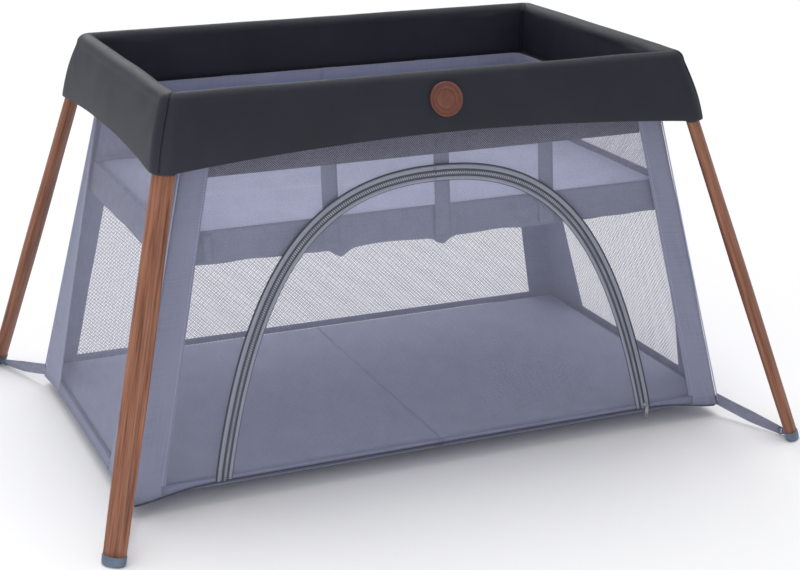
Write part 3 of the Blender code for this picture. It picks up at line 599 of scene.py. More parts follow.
def cover_columns():
    """Places round half the rail from the middle of the front to the middle of the back.

    Each is (kind, share): along the front, round a corner, along the end, round a corner, along the back.
    """
    columns = [("front", i / 46) for i in range(46)]
    columns += [("corner_front", i / 24) for i in range(24)]
    columns += [("end", i / 46) for i in range(46)]
    columns += [("corner_back", i / 24) for i in range(24)]
    return columns + [("back", i / 46) for i in range(47)]


def cover_point(kind, share, inset, z, slope_from):
    """A point of the cover's plan at one column, for an inset from the outer face."""
    slope = max(0.0, tube_z - slope_from)
    half_x = rail_x + COVER_HALF + flare_x * slope - inset
    half_y = rail_y + COVER_HALF + flare_y * slope - inset
    radius = max(COVER_CORNER - inset, 0.005)
    if kind == "front":
        return Vector((share * (half_x - radius), -half_y, z)), Vector((0, -1, 0))
    if kind == "back":
        return Vector(((1 - share) * (half_x - radius), half_y, z)), Vector((0, 1, 0))
    if kind == "end":
        return Vector((half_x, (2 * share - 1) * (half_y - radius), z)), Vector((1, 0, 0))
    first, way = (-90, -1) if kind == "corner_front" else (0, 1)
    angle = math.radians(first + 90 * share)
    out = Vector((math.cos(angle), math.sin(angle), 0))
    return Vector((half_x - radius, way * (half_y - radius), z)) + radius * out, out


def seam_dip(kind, share, radius):
    """How far the cloth is drawn in at the seam down the middle of a corner."""
    if not kind.startswith("corner"):
        return 0.0
    off = (share - 0.5) * radius * math.pi / 2
    return 0.0022 * math.exp(-((off / 0.0022) ** 2))


def bow(kind, share):
    """The skirt's lower edge lifts between the corners."""
    if kind.startswith("corner"):
        return 0.0
    if kind == "end":
        return 0.010 * (1 - (2 * share - 1) ** 2)
    along = share if kind == "front" else 1 - share
    return 0.021 * (1 - along ** 2)


def puckers(kind, share, z):
    """Short folds that run out from each corner seam and die away."""
    near = {"front": 1 - share, "back": share, "end": min(share, 1 - share)}.get(kind, 0.0)
    reach = near * (0.42 if kind != "end" else 0.5)
    fade = math.exp(-reach / 0.05) * (1 - math.exp(-reach / 0.008))
    return 0.0009 * fade * math.sin(95 * z + 60 * reach)


def cover_rows():
    """Rows from the skirt's hem up the outer face, over the crest and down the inner face."""
    rows = [(0.0, "outer", 0.0015)]
    rows += [(i / 16, "outer", 0.0) for i in range(17)]
    rows += [(i / 14, "crest", 0.0) for i in range(1, 14)]
    return rows + [(i / 12, "inner", 0.0) for i in range(13)]


def puff(share_up):
    """How far the padding blows out the outer face between the hem and the crest."""
    return COVER_PUFF * math.sin(math.pi * min(1.0, share_up * 0.92 + 0.04)) ** 0.8


def make_cover(side_name, side):
    points = []
    for share_up, zone, fold in cover_rows():
        row = []
        for kind, share in cover_columns():
            hem = cover_low.z + bow(kind, share)
            if zone == "outer":
                z = hem + (tube_z - hem) * share_up
                inset, slope_from = fold - puff(share_up), z
            elif zone == "crest":
                angle = math.pi * share_up
                inset = COVER_HALF * (1 - math.cos(angle)) - 0.0006
                z = tube_z + COVER_HALF * math.sin(angle)
                slope_from = tube_z
            else:
                z = tube_z - (tube_z - INNER_LOW) * share_up
                inset, slope_from = 2 * COVER_HALF - 0.0006 + 0.0022 * math.sin(math.pi * share_up), tube_z
            radius = max(COVER_CORNER - inset, 0.005)
            inset += seam_dip(kind, share, radius) * (-1 if zone == "inner" else 1)
            place, out = cover_point(kind, share, inset, z, slope_from)
            fade = min(1.0, abs(place.x) / 0.06)
            soft = ripple(place, 0.16, 0.0022) + ripple(place + Vector((7, 7, 7)), 0.05, 0.0007)
            soft += puckers(kind, share, z)
            place += out * soft * fade * (-1 if zone == "inner" else 1)
            if zone == "crest":
                place.z += ripple(place, 0.09, 0.0008) * fade
            row.append(Vector((side * place.x, place.y, place.z)))
        points.append(row if side > 0 else list(reversed(row)))
    cover = grid(f"rail_cover_{side_name}", points)
    smooth = cover.modifiers.new("soft", "SUBSURF")
    smooth.levels = smooth.render_levels = 1
    thicken(cover, COVER_CLOTH, -1.0)
    return cover


def to_hub(piece, side_name):
    """Bakes the piece's transform into its mesh, the same for either side."""
    if side_name == "left":
        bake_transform(piece)
    else:
        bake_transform(piece)


def apply_modifiers(piece):
    """Makes the modifiers' result the piece's own mesh."""
    shape = piece.evaluated_get(bpy.context.evaluated_depsgraph_get())
    mesh = bpy.data.meshes.new_from_object(shape)
    piece.modifiers.clear()
    piece.data = mesh
    return piece


def crisp_middle(piece, middle_x=0.0):
    """Keeps the cut face at the middle from shading the cloth beside it."""
    for face in piece.data.polygons:
        if abs(face.center.x - middle_x) < 0.0002 and abs(face.normal.x) > 0.9:
            for corner in face.loop_indices:
                piece.data.edges[piece.data.loops[corner].edge_index].use_edge_sharp = True


charcoal = charcoal_cloth()
seam_thread = woven("seam_cord", "#101116", "#181a20", 0.0008)
band_cloth = woven("gathered_band", "#17181d", "#24252c", 0.0012, 0.8)
BAND_HIGH = INNER_LOW + 0.003
BAND_LOW = INNER_LOW - 0.014
for side_name, side in SIDES.items():
    cover = make_cover(side_name, side)
    cover.data.materials.append(charcoal)
    apply_modifiers(cover)
    crisp_middle(cover)
    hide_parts(f"cover_{side_name}")
    to_hub(cover, side_name)

    rows = []
    for share_up in (0.0, 0.25, 0.5, 0.75, 1.0):
        z = BAND_LOW + (BAND_HIGH - BAND_LOW) * share_up
        row = []
        travel = 0.0
        last = None
        for kind, share in cover_columns():
            place, out = cover_point(kind, share, 2 * COVER_HALF + 0.0012, z, tube_z)
            travel += (place - last).length if last else 0.0
            last = place.copy()
            wave = 0.0011 * math.sin(travel * 210 + 1.6 * math.sin(travel * 37)) * (1 - share_up)
            drop = 0.0022 * math.sin(travel * 96 + 2.0 * math.sin(travel * 23)) * (1 - share_up)
            fade = min(1.0, abs(place.x) / 0.03)
            place += out * wave * fade
            place.z += drop * fade
            row.append(Vector((side * place.x, place.y, place.z)))
        rows.append(row if side > 0 else list(reversed(row)))
    band = grid(f"gathered_band_{side_name}", rows)
    band.data.materials.append(band_cloth)
    declare(band, 1.45, BAND_HIGH - BAND_LOW + 0.001, "gathered", [f"end_rail_{side_name}"])
    to_hub(band, side_name)

    for end_name, end in ENDS.items():
        kind = f"corner_{end_name}"
        line = []
        for share_up, zone, fold in cover_rows():
            if fold:
                continue
            if zone == "outer":
                z = cover_low.z + (tube_z - cover_low.z) * share_up
                inset, slope_from = 0.0012 - puff(share_up), z
            elif zone == "crest":
                angle = math.pi * share_up
                inset = 0.0010 + (COVER_HALF - 0.0014) * (1 - math.cos(angle))
                z = tube_z + (COVER_HALF - 0.0012) * math.sin(angle)
                slope_from = tube_z
            else:
                z = tube_z - (tube_z - INNER_LOW) * share_up
                inset, slope_from = 2 * COVER_HALF - 0.0010 + 0.0022 * math.sin(math.pi * share_up), tube_z
            place, out = cover_point(kind, 0.5, inset, z, slope_from)
            line.append((side * place.x, place.y, place.z))
        seam = cord_along(f"corner_seam_{end_name}_{side_name}", line, 0.0009)
        fit(seam, seam_thread, "cover_fabric", f"{side_name}_half")


# ---------------------------------------------------------------- corner posts, hems and nets
# At each corner a post of doubled polyester runs from the rail to the strap and wraps round the corner.
# Nets fill the faces between the posts, with a hem along the bottom and a dark tape sewn to the cover.

POST_TOP = 0.046
POST_BOTTOM = 0.057
POST_END_TOP = 0.012
POST_END_BOTTOM = 0.125
POST_ROUND = 0.010
HEM_HIGH = 0.0155
HEM_REST = 0.020
TAPE_HIGH = 0.024
CORNER_DROP = 0.009
FACE_HIGH = body_high + 0.036
TUCK = 0.006
# The height of the cloth that the faces are cut from, and the front net's width at its foot and on average.
FACE_CUT = 0.53
NET_CUT = 0.47
NET_MEAN = 0.43


def hem_low(x, y):
    """Height of the body's lower edge: lifted along the sides, and pulled down to the strap at a corner."""
    away_x = body_x(body_low) - abs(x)
    away_y = body_y(body_low) - abs(y)
    lift = 0.008 if away_x > away_y else 0.001
    return body_low + lift - (CORNER_DROP + lift) * math.exp(-((max(away_x, away_y) / 0.075) ** 2))


def post_front(z):
    """Width of a post's front or back part at a height; post_end is the same for its end part."""
    return POST_BOTTOM + (POST_TOP - POST_BOTTOM) * (z - body_low) / (body_high - body_low)


def post_end(z):
    return POST_END_BOTTOM + (POST_END_TOP - POST_END_BOTTOM) * (z - body_low) / (body_high - body_low)


def post_point(share, z, side, end, out=0.0009):
    """A point of a corner post: share 0 is its edge on the long side and 1 its edge on the end."""
    half_x, half_y = body_x(z) + out, body_y(z) + out
    wide, deep = post_front(z) - POST_ROUND, post_end(z) - min(POST_ROUND, post_end(z) * 0.8)
    arc = POST_ROUND * math.pi / 2
    place = share * (wide + arc + deep)
    if place <= wide:
        x, y = half_x - POST_ROUND - (wide - place), half_y
    elif place <= wide + arc:
        angle = (place - wide) / POST_ROUND
        x = half_x - POST_ROUND + POST_ROUND * math.sin(angle)
        y = half_y - POST_ROUND + POST_ROUND * math.cos(angle)
    else:
        x, y = half_x, half_y - POST_ROUND - (place - wide - arc)
    return Vector((side * x, end * y, z))


def make_post(side_name, side, end_name, end):
    rows = []
    for step in range(33):
        up = step / 32
        row = []
        for i in range(29):
            share = i / 28
            flat = post_point(share, body_low, side, end)
            low = hem_low(flat.x, flat.y)
            z = low + (body_high + 0.016 - low) * up
            place = post_point(share, max(z, body_low - 0.012), side, end)
            place.z = z
            away = Vector((place.x, place.y, 0.0)).normalized()
            place += away * (ripple(place, 0.11, 0.0016) + 0.0012) * math.sin(math.pi * min(up, 0.96))
            row.append(place)
        rows.append(row if side * end < 0 else list(reversed(row)))
    post = grid(f"corner_post_{end_name}_{side_name}", rows)
    thicken(post, 0.0012, -1.0)
    return post


for side_name, side in SIDES.items():
    half = f"{side_name}_half"
    for end_name, end in ENDS.items():
        post = make_post(side_name, side, end_name, end)
        wide = post_front(body_low) + post_end(body_low)
        narrow = post_front(body_high) + post_end(body_high)
        declare(post, wide, FACE_CUT, "stretched", [f"end_rail_{side_name}"], (wide + narrow) / 2 / wide)
        gather(fit(post, lavender, "mesh_fabric", half))
        for label, share, inwards in (("long", 0.0, 0.03), ("end", 1.0, -0.03)):
            sewn_heights = [body_low + 0.01 + (body_high - body_low - 0.012) * i / 40 for i in range(41)]
            line = [post_point(share + inwards, z, side, end, 0.0030) for z in sewn_heights]
            out = (0.0, end, 0.0) if label == "long" else (side, 0.0, 0.0)
            sewn = stitches(f"post_stitches_{label}_{end_name}_{side_name}", line, out)
            gather(fit(sewn, lavender_pale, "mesh_fabric", half))
        # A thin cord down the bend of each corner post, in pale cotton: its pale colour is a painted
        # highlight of the corner edge.
        line = []
        for i in range(31):
            z = body_low - 0.004 + (body_high - body_low) * i / 30
            flat_part = post_front(z) - POST_ROUND
            arc = POST_ROUND * math.pi / 2
            whole = flat_part + arc + post_end(z) - min(POST_ROUND, post_end(z) * 0.8)
            line.append(post_point((flat_part + arc / 2) / whole, z, side, end, 0.0028))
        piping = cord_along(f"corner_piping_{end_name}_{side_name}", line, 0.0011)
        gather(fit(piping, lavender_pale, "mesh_fabric", half))


def flat_uv(axis):
    """UVs straight from the place, so that a pattern runs on across the middle of the body."""
    return lambda co: (co[axis], co.z)


def strip(name, low, high, body, side_name, skin, slot, uv, wall=0.0009, cuts=1):
    """A sewn strip between two lines of points, one above the other."""
    rows = [[a.lerp(b, i / cuts) for a, b in zip(low, high)] for i in range(cuts + 1)]
    made = grid(name, rows, uv=uv)
    length = sum((b - a).length for a, b in zip(low, low[1:]))
    widths = [(b - a).length for a, b in zip(low, high)]
    cut = sum(widths) / len(widths) / max(widths)
    declare(made, max(widths) * 1.02, length * 1.02, "stretched", [f"end_rail_{side_name}"], cut)
    thicken(made, wall, 0.0)
    gather(fit(made, skin, slot, body))
    return made


def long_point(end, x, z, out=0.0):
    """A point on the front or back face, which stands upright above the body's top."""
    return Vector((x, end * (body_y(min(z, body_high)) + out), z))


def end_point(side, y, z, out=0.0):
    return Vector((side * (body_x(min(z, body_high)) + out), y, z))


def ordered(points, forwards):
    return points if forwards else list(reversed(points))


# The arch of the door, as part of the front face: its half width, its height above the sill, and how
# its shoulder and crown pull the curve.
door_low, door_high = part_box("door_right")
ARCH_WIDE = door_high.x + 0.0006
ARCH_SILL = door_low.z
ARCH_TALL = door_high.z - door_low.z
ARCH_SHARE = math.pi / 4
ARCH_STEPS = 60


def arch_curve(grow):
    """The arch from its foot to its top on the right half, as (x, z), moved outwards by grow."""
    shares = ((1.0, 0.0), (0.83, 0.742), (0.536, 1.004), (0.0, 1.0))
    knots = [Vector((ARCH_WIDE * a, ARCH_TALL * b, 0.0)) for a, b in shares]
    line = interpolate_bezier(*knots, ARCH_STEPS + 1)
    moved = []
    for i, point in enumerate(line):
        ahead = line[min(i + 1, ARCH_STEPS)] - line[max(i - 1, 0)]
        outwards = Vector((ahead.y, -ahead.x, 0.0)).normalized()
        place = point + outwards * grow
        moved.append((max(place.x, 0.0), ARCH_SILL + place.y))
    moved[0] = (moved[0][0], ARCH_SILL - 0.002)
    moved[-1] = (0.0, moved[-1][1])
    return moved


def front_net_rows(side):
    """The net outside the arch: each row runs a share of the way from the arch to the post and the tape."""
    arch = arch_curve(0.001)
    edge = []
    top_z = FACE_HIGH
    for i in range(ARCH_STEPS + 1):
        share = i / ARCH_STEPS
        if share < 0.6:
            z = ARCH_SILL - 0.002 + (top_z - ARCH_SILL + 0.002) * share / 0.6
            edge.append((body_x(z) - post_front(z) + TUCK, z))
        else:
            edge.append(((body_x(top_z) - post_front(top_z) + TUCK) * (1 - share) / 0.4, top_z))
    rows = []
    for step in range(9):
        near = step / 8
        row = []
        for (ax, az), (bx, bz) in zip(arch, edge):
            x, z = ax + (bx - ax) * near, az + (bz - az) * near
            row.append(long_point(-1, side * x, z, -0.0004 + ripple(Vector((x * side, 3, z)), 0.15, 0.0006)))
        rows.append(ordered(row, side < 0))
    return rows


def net_between(name, low, high, cuts, side_name, body, uv):
    rows = [[a.lerp(b, i / cuts) for a, b in zip(low, high)] for i in range(cuts + 1)]
    made = grid(name, rows, uv=uv)
    foot, top = (low[0] - low[-1]).length, (high[0] - high[-1]).length
    width = max(foot, top)
    cut = (foot + top) / 2 / width
    declare(made, width * 1.01, (high[0] - low[0]).length * 1.02, "stretched", [f"end_rail_{side_name}"], cut)
    gather(fit(made, body_net, "mesh_fabric", body))
    return made


zip_dark = woven("dark_piping", "#3b3e4a", "#494c59", 0.0009)
rail_tape = woven("charcoal_tape", "#363843", "#454854", 0.0012)
for side_name, side in SIDES.items():
    half = f"{side_name}_half"
    front_net = grid(f"front_net_{side_name}", front_net_rows(side), uv=flat_uv(0))
    whole = NET_MEAN * FACE_CUT
    cut = (whole - ARCH_SHARE * ARCH_WIDE * ARCH_TALL) / (NET_CUT * FACE_CUT)
    declare(front_net, NET_CUT, FACE_CUT, "stretched", [f"end_rail_{side_name}"], cut)
    gather(fit(front_net, front_mesh, "mesh_fabric", half, f"front_panel_{side_name}"))

    steps = [i / 24 for i in range(25)]
    for end_name, end in ENDS.items():
        reach_low = body_x(body_low) - post_front(body_low) + TUCK
        reach_high = body_x(body_high) - post_front(body_high) + TUCK
        if end > 0:
            low = [long_point(end, side * reach_low * s, body_low + 0.006, -0.0004) for s in steps]
            high = [long_point(end, side * reach_high * s, FACE_HIGH, -0.0004) for s in steps]
            forwards = side < 0
            back_net = net_between(
                f"back_net_{side_name}", ordered(low, forwards), ordered(high, forwards), 8,
                side_name, half, flat_uv(0),
            )
            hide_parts(f"back_panel_{side_name}")
        hem_top = HEM_HIGH if end < 0 else HEM_REST
        y_low = end * body_y(body_low)
        low = [long_point(end, side * reach_low * s, hem_low(reach_low * s, y_low), 0.0006) for s in steps]
        high = [long_point(end, side * reach_low * s, body_low + hem_top, 0.0006) for s in steps]
        forwards = side * end < 0
        strip(
            f"{end_name}_hem_{side_name}", ordered(low, forwards), ordered(high, forwards), half,
            side_name, lavender_dark, "mesh_fabric", flat_uv(0), cuts=2,
        )
        xs = [body_x(body_low) * (0.985 * i / 48) for i in range(49)]
        line = [long_point(end, side * x, hem_low(x, y_low), 0.0016) for x in xs]
        piping = cord_along(f"{end_name}_hem_piping_{side_name}", line, 0.0010)
        gather(fit(piping, zip_dark, "mesh_fabric", half))
        low = [long_point(end, side * reach_high * s, body_high - TAPE_HIGH, -0.0026) for s in steps]
        high = [long_point(end, side * reach_high * s, FACE_HIGH, -0.0026) for s in steps]
        strip(
            f"{end_name}_rail_tape_{side_name}", ordered(low, forwards), ordered(high, forwards), half,
            side_name, rail_tape, "cover_fabric", flat_uv(0),
        )

    reach_low = body_y(body_low) - post_end(body_low) + TUCK
    reach_high = body_y(body_high) - post_end(body_high) + TUCK
    spread = [2 * s - 1 for s in steps]
    low = [end_point(side, reach_low * s, body_low + 0.006, -0.0004) for s in spread]
    high = [end_point(side, reach_high * s, FACE_HIGH, -0.0004) for s in spread]
    end_net = net_between(
        f"end_net_{side_name}", ordered(low, side > 0), ordered(high, side > 0), 8,
        side_name, half, flat_uv(1),
    )
    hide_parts(f"end_panel_{side_name}")
    low = [end_point(side, reach_low * s, hem_low(body_x(body_low), reach_low * s), 0.0006) for s in spread]
    high = [end_point(side, reach_low * s, body_low + HEM_REST, 0.0006) for s in spread]
    strip(
        f"end_hem_{side_name}", ordered(low, side > 0), ordered(high, side > 0), half, side_name,
        lavender_dark, "mesh_fabric", flat_uv(1), cuts=2,
    )
    low = [end_point(side, reach_high * s, body_high - TAPE_HIGH, -0.0026) for s in spread]
    high = [end_point(side, reach_high * s, FACE_HIGH, -0.0026) for s in spread]
    strip(
        f"end_rail_tape_{side_name}", ordered(low, side > 0), ordered(high, side > 0), half, side_name,
        rail_tape, "cover_fabric", flat_uv(1),
    )


# ---------------------------------------------------------------- arched door and its zip
# The door is a panel of the same net. A nylon coil zip runs round the arch between two woven tapes: the
# outer one is covered by a light band and a dark piped edge, and the inner one is sewn to the door.

# Teeth every 2 mm, drawn every 3.6 mm so that they show.
COIL_PITCH = 0.0036
zip_nylon = moulded("coil_nylon", "#a3a7b3", "#bdc1cb", 0.0004, 0.4)
zip_tape = woven("slate_zip_tape", "#555867", "#636676", 0.0009)
zip_band = woven("light_zip_band", "#8d929f", "#9ca1ae", 0.0011)


def arch_line(side, grow, out):
    """Half the arch on the front face, moved away from the coil by grow and off the face by out."""
    return [long_point(-1, side * x, z, out) for x, z in arch_curve(grow)]


def arch_strip(name, side, grow_in, grow_out, out, body, side_name, skin, slot):
    """A ribbon that follows the arch between two distances from the coil."""
    inner, outer = arch_line(side, grow_in, out), arch_line(side, grow_out, out)
    made = grid(name, [ordered(inner, side < 0), ordered(outer, side < 0)])
    length = sum((b - a).length for a, b in zip(outer, outer[1:]))
    declare(made, abs(grow_out - grow_in) * 1.05, length * 1.02, "stretched", [f"front_net_{side_name}"])
    thicken(made, 0.0009, 0.0)
    gather(fit(made, skin, slot, body))
    return made


def coil(name, side, grow, first, body):
    """One row of the zip's teeth, each a small loop of the coil."""
    line = arch_line(side, grow, 0.0022)
    made = row_of(name, line, (0, -1, lean_y), COIL_PITCH, bead(COIL_PITCH * 0.56, 0.0032, 0.0018), first)
    made.data.shade_smooth()
    gather(fit(made, zip_nylon, "zip_metal", body))


for side_name, side in SIDES.items():
    half, door = f"{side_name}_half", f"{side_name}_door"
    arch = arch_curve(-0.001)
    rows = []
    for step in range(9):
        up = step / 8
        row = []
        for x, z in arch:
            height = ARCH_SILL + 0.0008 + max(z - ARCH_SILL, 0.0005) * up
            soft = ripple(Vector((x * side, 5, z * up)), 0.15, 0.001)
            row.append(long_point(-1, side * x, height, -0.0004 + soft))
        rows.append(ordered(row, side < 0))
    door_net = grid(f"door_net_{side_name}", rows, uv=flat_uv(0))
    door_cut = (ARCH_WIDE * 1.02, ARCH_TALL * 1.02)
    declare(door_net, *door_cut, "stretched", [f"front_net_{side_name}"], ARCH_SHARE)
    gather(fit(door_net, front_mesh, "mesh_fabric", door, f"door_{side_name}"))

    for label, near, far, out, body, skin in (
        ("tape_outer", 0.0, 0.0052, 0.0010, half, zip_tape),
        ("band", 0.0050, 0.0125, 0.0018, half, zip_band),
        ("tape_inner", 0.0, -0.0052, 0.0010, door, zip_tape),
        ("binding", -0.0050, -0.0112, 0.0014, door, zip_band),
    ):
        arch_strip(f"zip_{label}_{side_name}", side, near, far, out, body, side_name, skin, "mesh_fabric")
    coil(f"zip_coil_outer_{side_name}", side, 0.0010, 0.5, half)
    coil(f"zip_coil_inner_{side_name}", side, -0.0010, 1.0, door)
    for label, grow, radius, out, body, skin in (
        ("piping", 0.0138, 0.0013, 0.0016, half, zip_dark), ("cord", 0.0052, 0.0006, 0.0022, half, zip_dark),
        ("edge", -0.0115, 0.0006, 0.0014, door, zip_dark), ("lip", -0.0052, 0.0005, 0.0018, door, zip_dark),
    ):
        piece = cord_along(f"zip_{label}_{side_name}", arch_line(side, grow, out), radius)
        gather(fit(piece, skin, "mesh_fabric", body))
    for label, grow, out, body in (("outer", 0.0108, 0.0025, half), ("inner", -0.0092, 0.0021, door)):
        sewn = stitches(f"zip_stitches_{label}_{side_name}", arch_line(side, grow, out), (0, -1, lean_y))
        gather(fit(sewn, lavender_pale, "mesh_fabric", body))


# ---------------------------------------------------------------- zip slider and pull
# A die-cast slider parked at the foot of the arch, with a pull that swings on its bridge.

pull_low, pull_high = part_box("zip_pull")
pull_x = (pull_low.x + pull_high.x) / 2
zinc = moulded("die_cast_zinc", "#8f9195", "#b2b4b8", 0.0012, 0.3)
zinc.node_tree.nodes["Principled BSDF"].inputs["Metallic"].default_value = 1.0


def rounded_plate(name, outline, hole, thickness, bevel, place):
    """A flat plate with a hole, its edges rounded."""
    curve = bpy.data.curves.new(name, "CURVE")
    curve.dimensions = "2D"
    curve.fill_mode = "BOTH"
    curve.extrude = thickness / 2 - bevel
    curve.bevel_depth = bevel
    curve.bevel_resolution = 2
    for points in (outline, hole):
        spline = curve.splines.new("POLY")
        spline.points.add(len(points) - 1)
        for point, (u, v) in zip(spline.points, points):
            point.co = (u, v, 0.0, 1.0)
        spline.use_cyclic_u = True
    made = place_in_scene(bpy.data.objects.new(name, curve))
    made.matrix_world = place
    bpy.context.view_layer.update()
    mesh = bpy.data.meshes.new_from_object(made.evaluated_get(bpy.context.evaluated_depsgraph_get()))
    mesh.transform(place)
    bpy.data.objects.remove(made, do_unlink=True)
    return place_in_scene(bpy.data.objects.new(name, mesh))


def pill(wide, low, high, steps=8):
    """A slot shape with round ends, as (across, up) points."""
    radius = wide / 2
    points = []
    for middle, first in ((high - radius, 0), (low + radius, 180)):
        for step in range(steps + 1):
            angle = math.radians(first + 180 * step / steps)
            points.append((radius * math.cos(angle), middle + radius * math.sin(angle)))
    return points


pull_tall = pull_high.z - pull_low.z
upright = Matrix.Translation((pull_x, (pull_low.y + pull_high.y) / 2, pull_low.z))
upright = upright @ Matrix.Rotation(math.pi / 2, 4, "X")
pull_edge, pull_hole = pill(0.0058, 0.0, pull_tall), pill(0.0030, 0.0022, pull_tall * 0.5)
pull = rounded_plate("zip_tab_plate", pull_edge, pull_hole, 0.0013, 0.0003, upright)
pull.data.materials.clear()
gather(fit(pull, zinc, "zip_metal", "zip_tab", "zip_pull"))

slider_z = pull_high.z + 0.001
SLIDER = (
    (-0.0050, 0.0030, 0.0006), (-0.0045, 0.0034, 0.0026), (0.0, 0.0040, 0.0032), (0.0045, 0.0046, 0.0028),
    (0.0052, 0.0040, 0.0006),
)
rows = []
for z, wide, out in SLIDER:
    base = long_point(-1, pull_x, slider_z + z, 0.0)
    half_ring = [(wide, 0.0), (wide, -out * 0.7), (wide * 0.7, -out)]
    ring = [(-u, v) for u, v in half_ring] + list(reversed(half_ring))
    rows.append([base + Vector((u, v, 0.0)) for u, v in ring])
slider = grid("zip_slider", rows, wrap=True, caps=True)
gather(fit(slider, zinc, "zip_metal", "right_half"))
bridge_line = [
    long_point(-1, pull_x, slider_z + 0.0035 * math.cos(a), 0.0028 + 0.0022 * math.sin(a))
    for a in [math.radians(degrees) for degrees in range(0, 181, 20)]
]
bridge = cord_along("zip_bridge", bridge_line, 0.0006)
gather(fit(bridge, zinc, "zip_metal", "right_half"))


# ---------------------------------------------------------------- floor and mat
# The floor is a sheet of the body's cloth sewn in at the hem. A thin foam mat in a polyester sleeve
# lies on it, in two halves that fold at the middle.

def stuffed(name, low, high, inner_x, voxel, cap, pressure):
    """A foam-filled pad: a rounded block, blown up a little by the cloth solver and held to its cap."""
    work = bmesh.new()
    bmesh.ops.create_cube(work, size=1.0)
    low, high = Vector(low), Vector(high)
    work.transform(Matrix.Translation((low + high) / 2) @ Matrix.Diagonal((*(high - low), 1.0)))
    outer = [edge for edge in work.edges if not all(abs(v.co.x - inner_x) < 1e-4 for v in edge.verts)]
    bmesh.ops.bevel(
        work, geom=outer, offset=min(0.008, (high.z - low.z) * 0.35), segments=3, affect="EDGES", profile=0.6
    )
    mesh = bpy.data.meshes.new(name)
    work.to_mesh(mesh)
    work.free()
    pad = place_in_scene(bpy.data.objects.new(name, mesh))
    remesh = pad.modifiers.new("skin", "REMESH")
    remesh.mode = "VOXEL"
    remesh.voxel_size = voxel
    apply_modifiers(pad)
    rest = [v.co.copy() for v in pad.data.vertices]
    cloth = pad.modifiers.new("cloth", "CLOTH")
    cloth.settings.use_pressure = True
    cloth.settings.uniform_pressure_force = pressure
    cloth.settings.effector_weights.gravity = 0.0
    cloth.point_cache.frame_end = 20
    for step in range(1, 21):
        bpy.context.scene.frame_set(step)
    apply_modifiers(pad)
    bpy.context.scene.frame_set(1)
    for vertex, start in zip(pad.data.vertices, rest):
        move = vertex.co - start
        edge = abs(start.x - inner_x)
        limit = cap * min(1.0, 0.1 + edge / 0.05)
        if move.length > limit:
            move = move.normalized() * limit
        place = start + move
        if start.z < low.z + 0.002:
            place.z = max(place.z, low.z)
        if edge < voxel * 1.2:
            place.x = inner_x
            place.z = low.z if start.z < (low.z + high.z) / 2 else high.z
        top = max(0.0, (start.z - low.z) / (high.z - low.z))
        place.z += ripple(Vector((place.x, place.y, 0.0)), 0.14, 0.0012) * top
        vertex.co = place
    layer = pad.data.uv_layers.new(name="metres")
    for face in pad.data.polygons:
        face.use_smooth = True
        for corner in face.loop_indices:
            co = pad.data.vertices[pad.data.loops[corner].vertex_index].co
            layer.data[corner].uv = (co.x, co.y)
    smooth = pad.modifiers.new("soft", "SUBSURF")
    smooth.levels = smooth.render_levels = 1
    apply_modifiers(pad)
    crisp_middle(pad, inner_x)
    return pad


def round_the_box(reach_x, reach_y, z, side, inset=0.0):
    """The line round three sides of a half box, from the middle of the front to the middle of the back."""
    x, y, r = reach_x - inset, reach_y - inset, 0.012
    turns = (0.4, 0.8, 1.2)
    points = [(x - r) * i / 20 for i in range(21)]
    line = [Vector((side * p, -y, z)) for p in points]
    line += [Vector((side * (x - r + r * math.sin(a)), -(y - r + r * math.cos(a)), z)) for a in turns]
    line += [Vector((side * x, -(y - r) + 2 * (y - r) * i / 20, z)) for i in range(21)]
    line += [Vector((side * (x - r + r * math.cos(a)), y - r + r * math.sin(a), z)) for a in turns]
    return line + [Vector((side * p, y, z)) for p in reversed(points)]


for side_name, side in SIDES.items():
    half = f"{side_name}_half"
    low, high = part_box(f"floor_{side_name}")
    reach = max(abs(low.x), abs(high.x))
    rows = []
    for i in range(17):
        x = (reach + 0.0030) * i / 16
        row = []
        for j in range(25):
            y = (high.y + 0.0030) * (2 * j / 24 - 1)
            sag = 0.0018 * math.sin(math.pi * j / 24)
            row.append(Vector((side * x, y, high.z - 0.001 - sag)))
        rows.append(ordered(row, side > 0))
    floor_sheet = grid(f"floor_sheet_{side_name}", rows, uv=lambda co: (co.x, co.y))
    declare(floor_sheet, reach * 1.03, 2 * high.y * 1.03, "stretched", [f"end_net_{side_name}"])
    thicken(floor_sheet, 0.0014, -1.0)
    gather(fit(floor_sheet, lavender_dark, "floor_fabric", half, f"floor_{side_name}"))

    low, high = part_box(f"mattress_{side_name}")
    inner = 0.0
    xs = sorted((inner, side * (max(abs(low.x), abs(high.x)) - 0.0005)))
    mat_low = (xs[0], low.y + 0.0005, low.z)
    mat_high = (xs[1], high.y - 0.0005, high.z - 0.001)
    mat = stuffed(f"floor_mat_{side_name}", mat_low, mat_high, inner, 0.005, 0.003, 3.0)
    gather(fit(mat, mat_cloth, "mat_fabric", half, f"mattress_{side_name}"))
    reach_x, reach_y = max(abs(low.x), abs(high.x)), high.y
    line = round_the_box(reach_x, reach_y, (low.z + high.z) / 2, side, 0.001)
    piping = cord_along(f"mat_piping_{side_name}", line, 0.0016)
    gather(fit(piping, lavender_dark, "mat_fabric", half))


# ---------------------------------------------------------------- bassinet
# A newborn insert that hangs in the upper half: a padded base in pale cotton, a band of cloth round
# it, net up to the rail, and webbing straps that take the weight.

BAND_RISE = 0.002
BAND_FOLDS = (-0.160, 0.012)
STRAP_PLACES = (-0.175, 0.0135, 0.197)
STRAP_WIDE = 0.026
NET_TOP = cover_low.z + 0.021
LONG_STEPS = 60
END_STEPS = 40
TURN_STEPS = (15, 30, 45, 60, 75)
BACK_STARTS = LONG_STEPS + 1 + len(TURN_STEPS) + END_STEPS + 1
base_low, base_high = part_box("bassinet_base_right")
wall_low, wall_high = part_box("bassinet_wall_right")


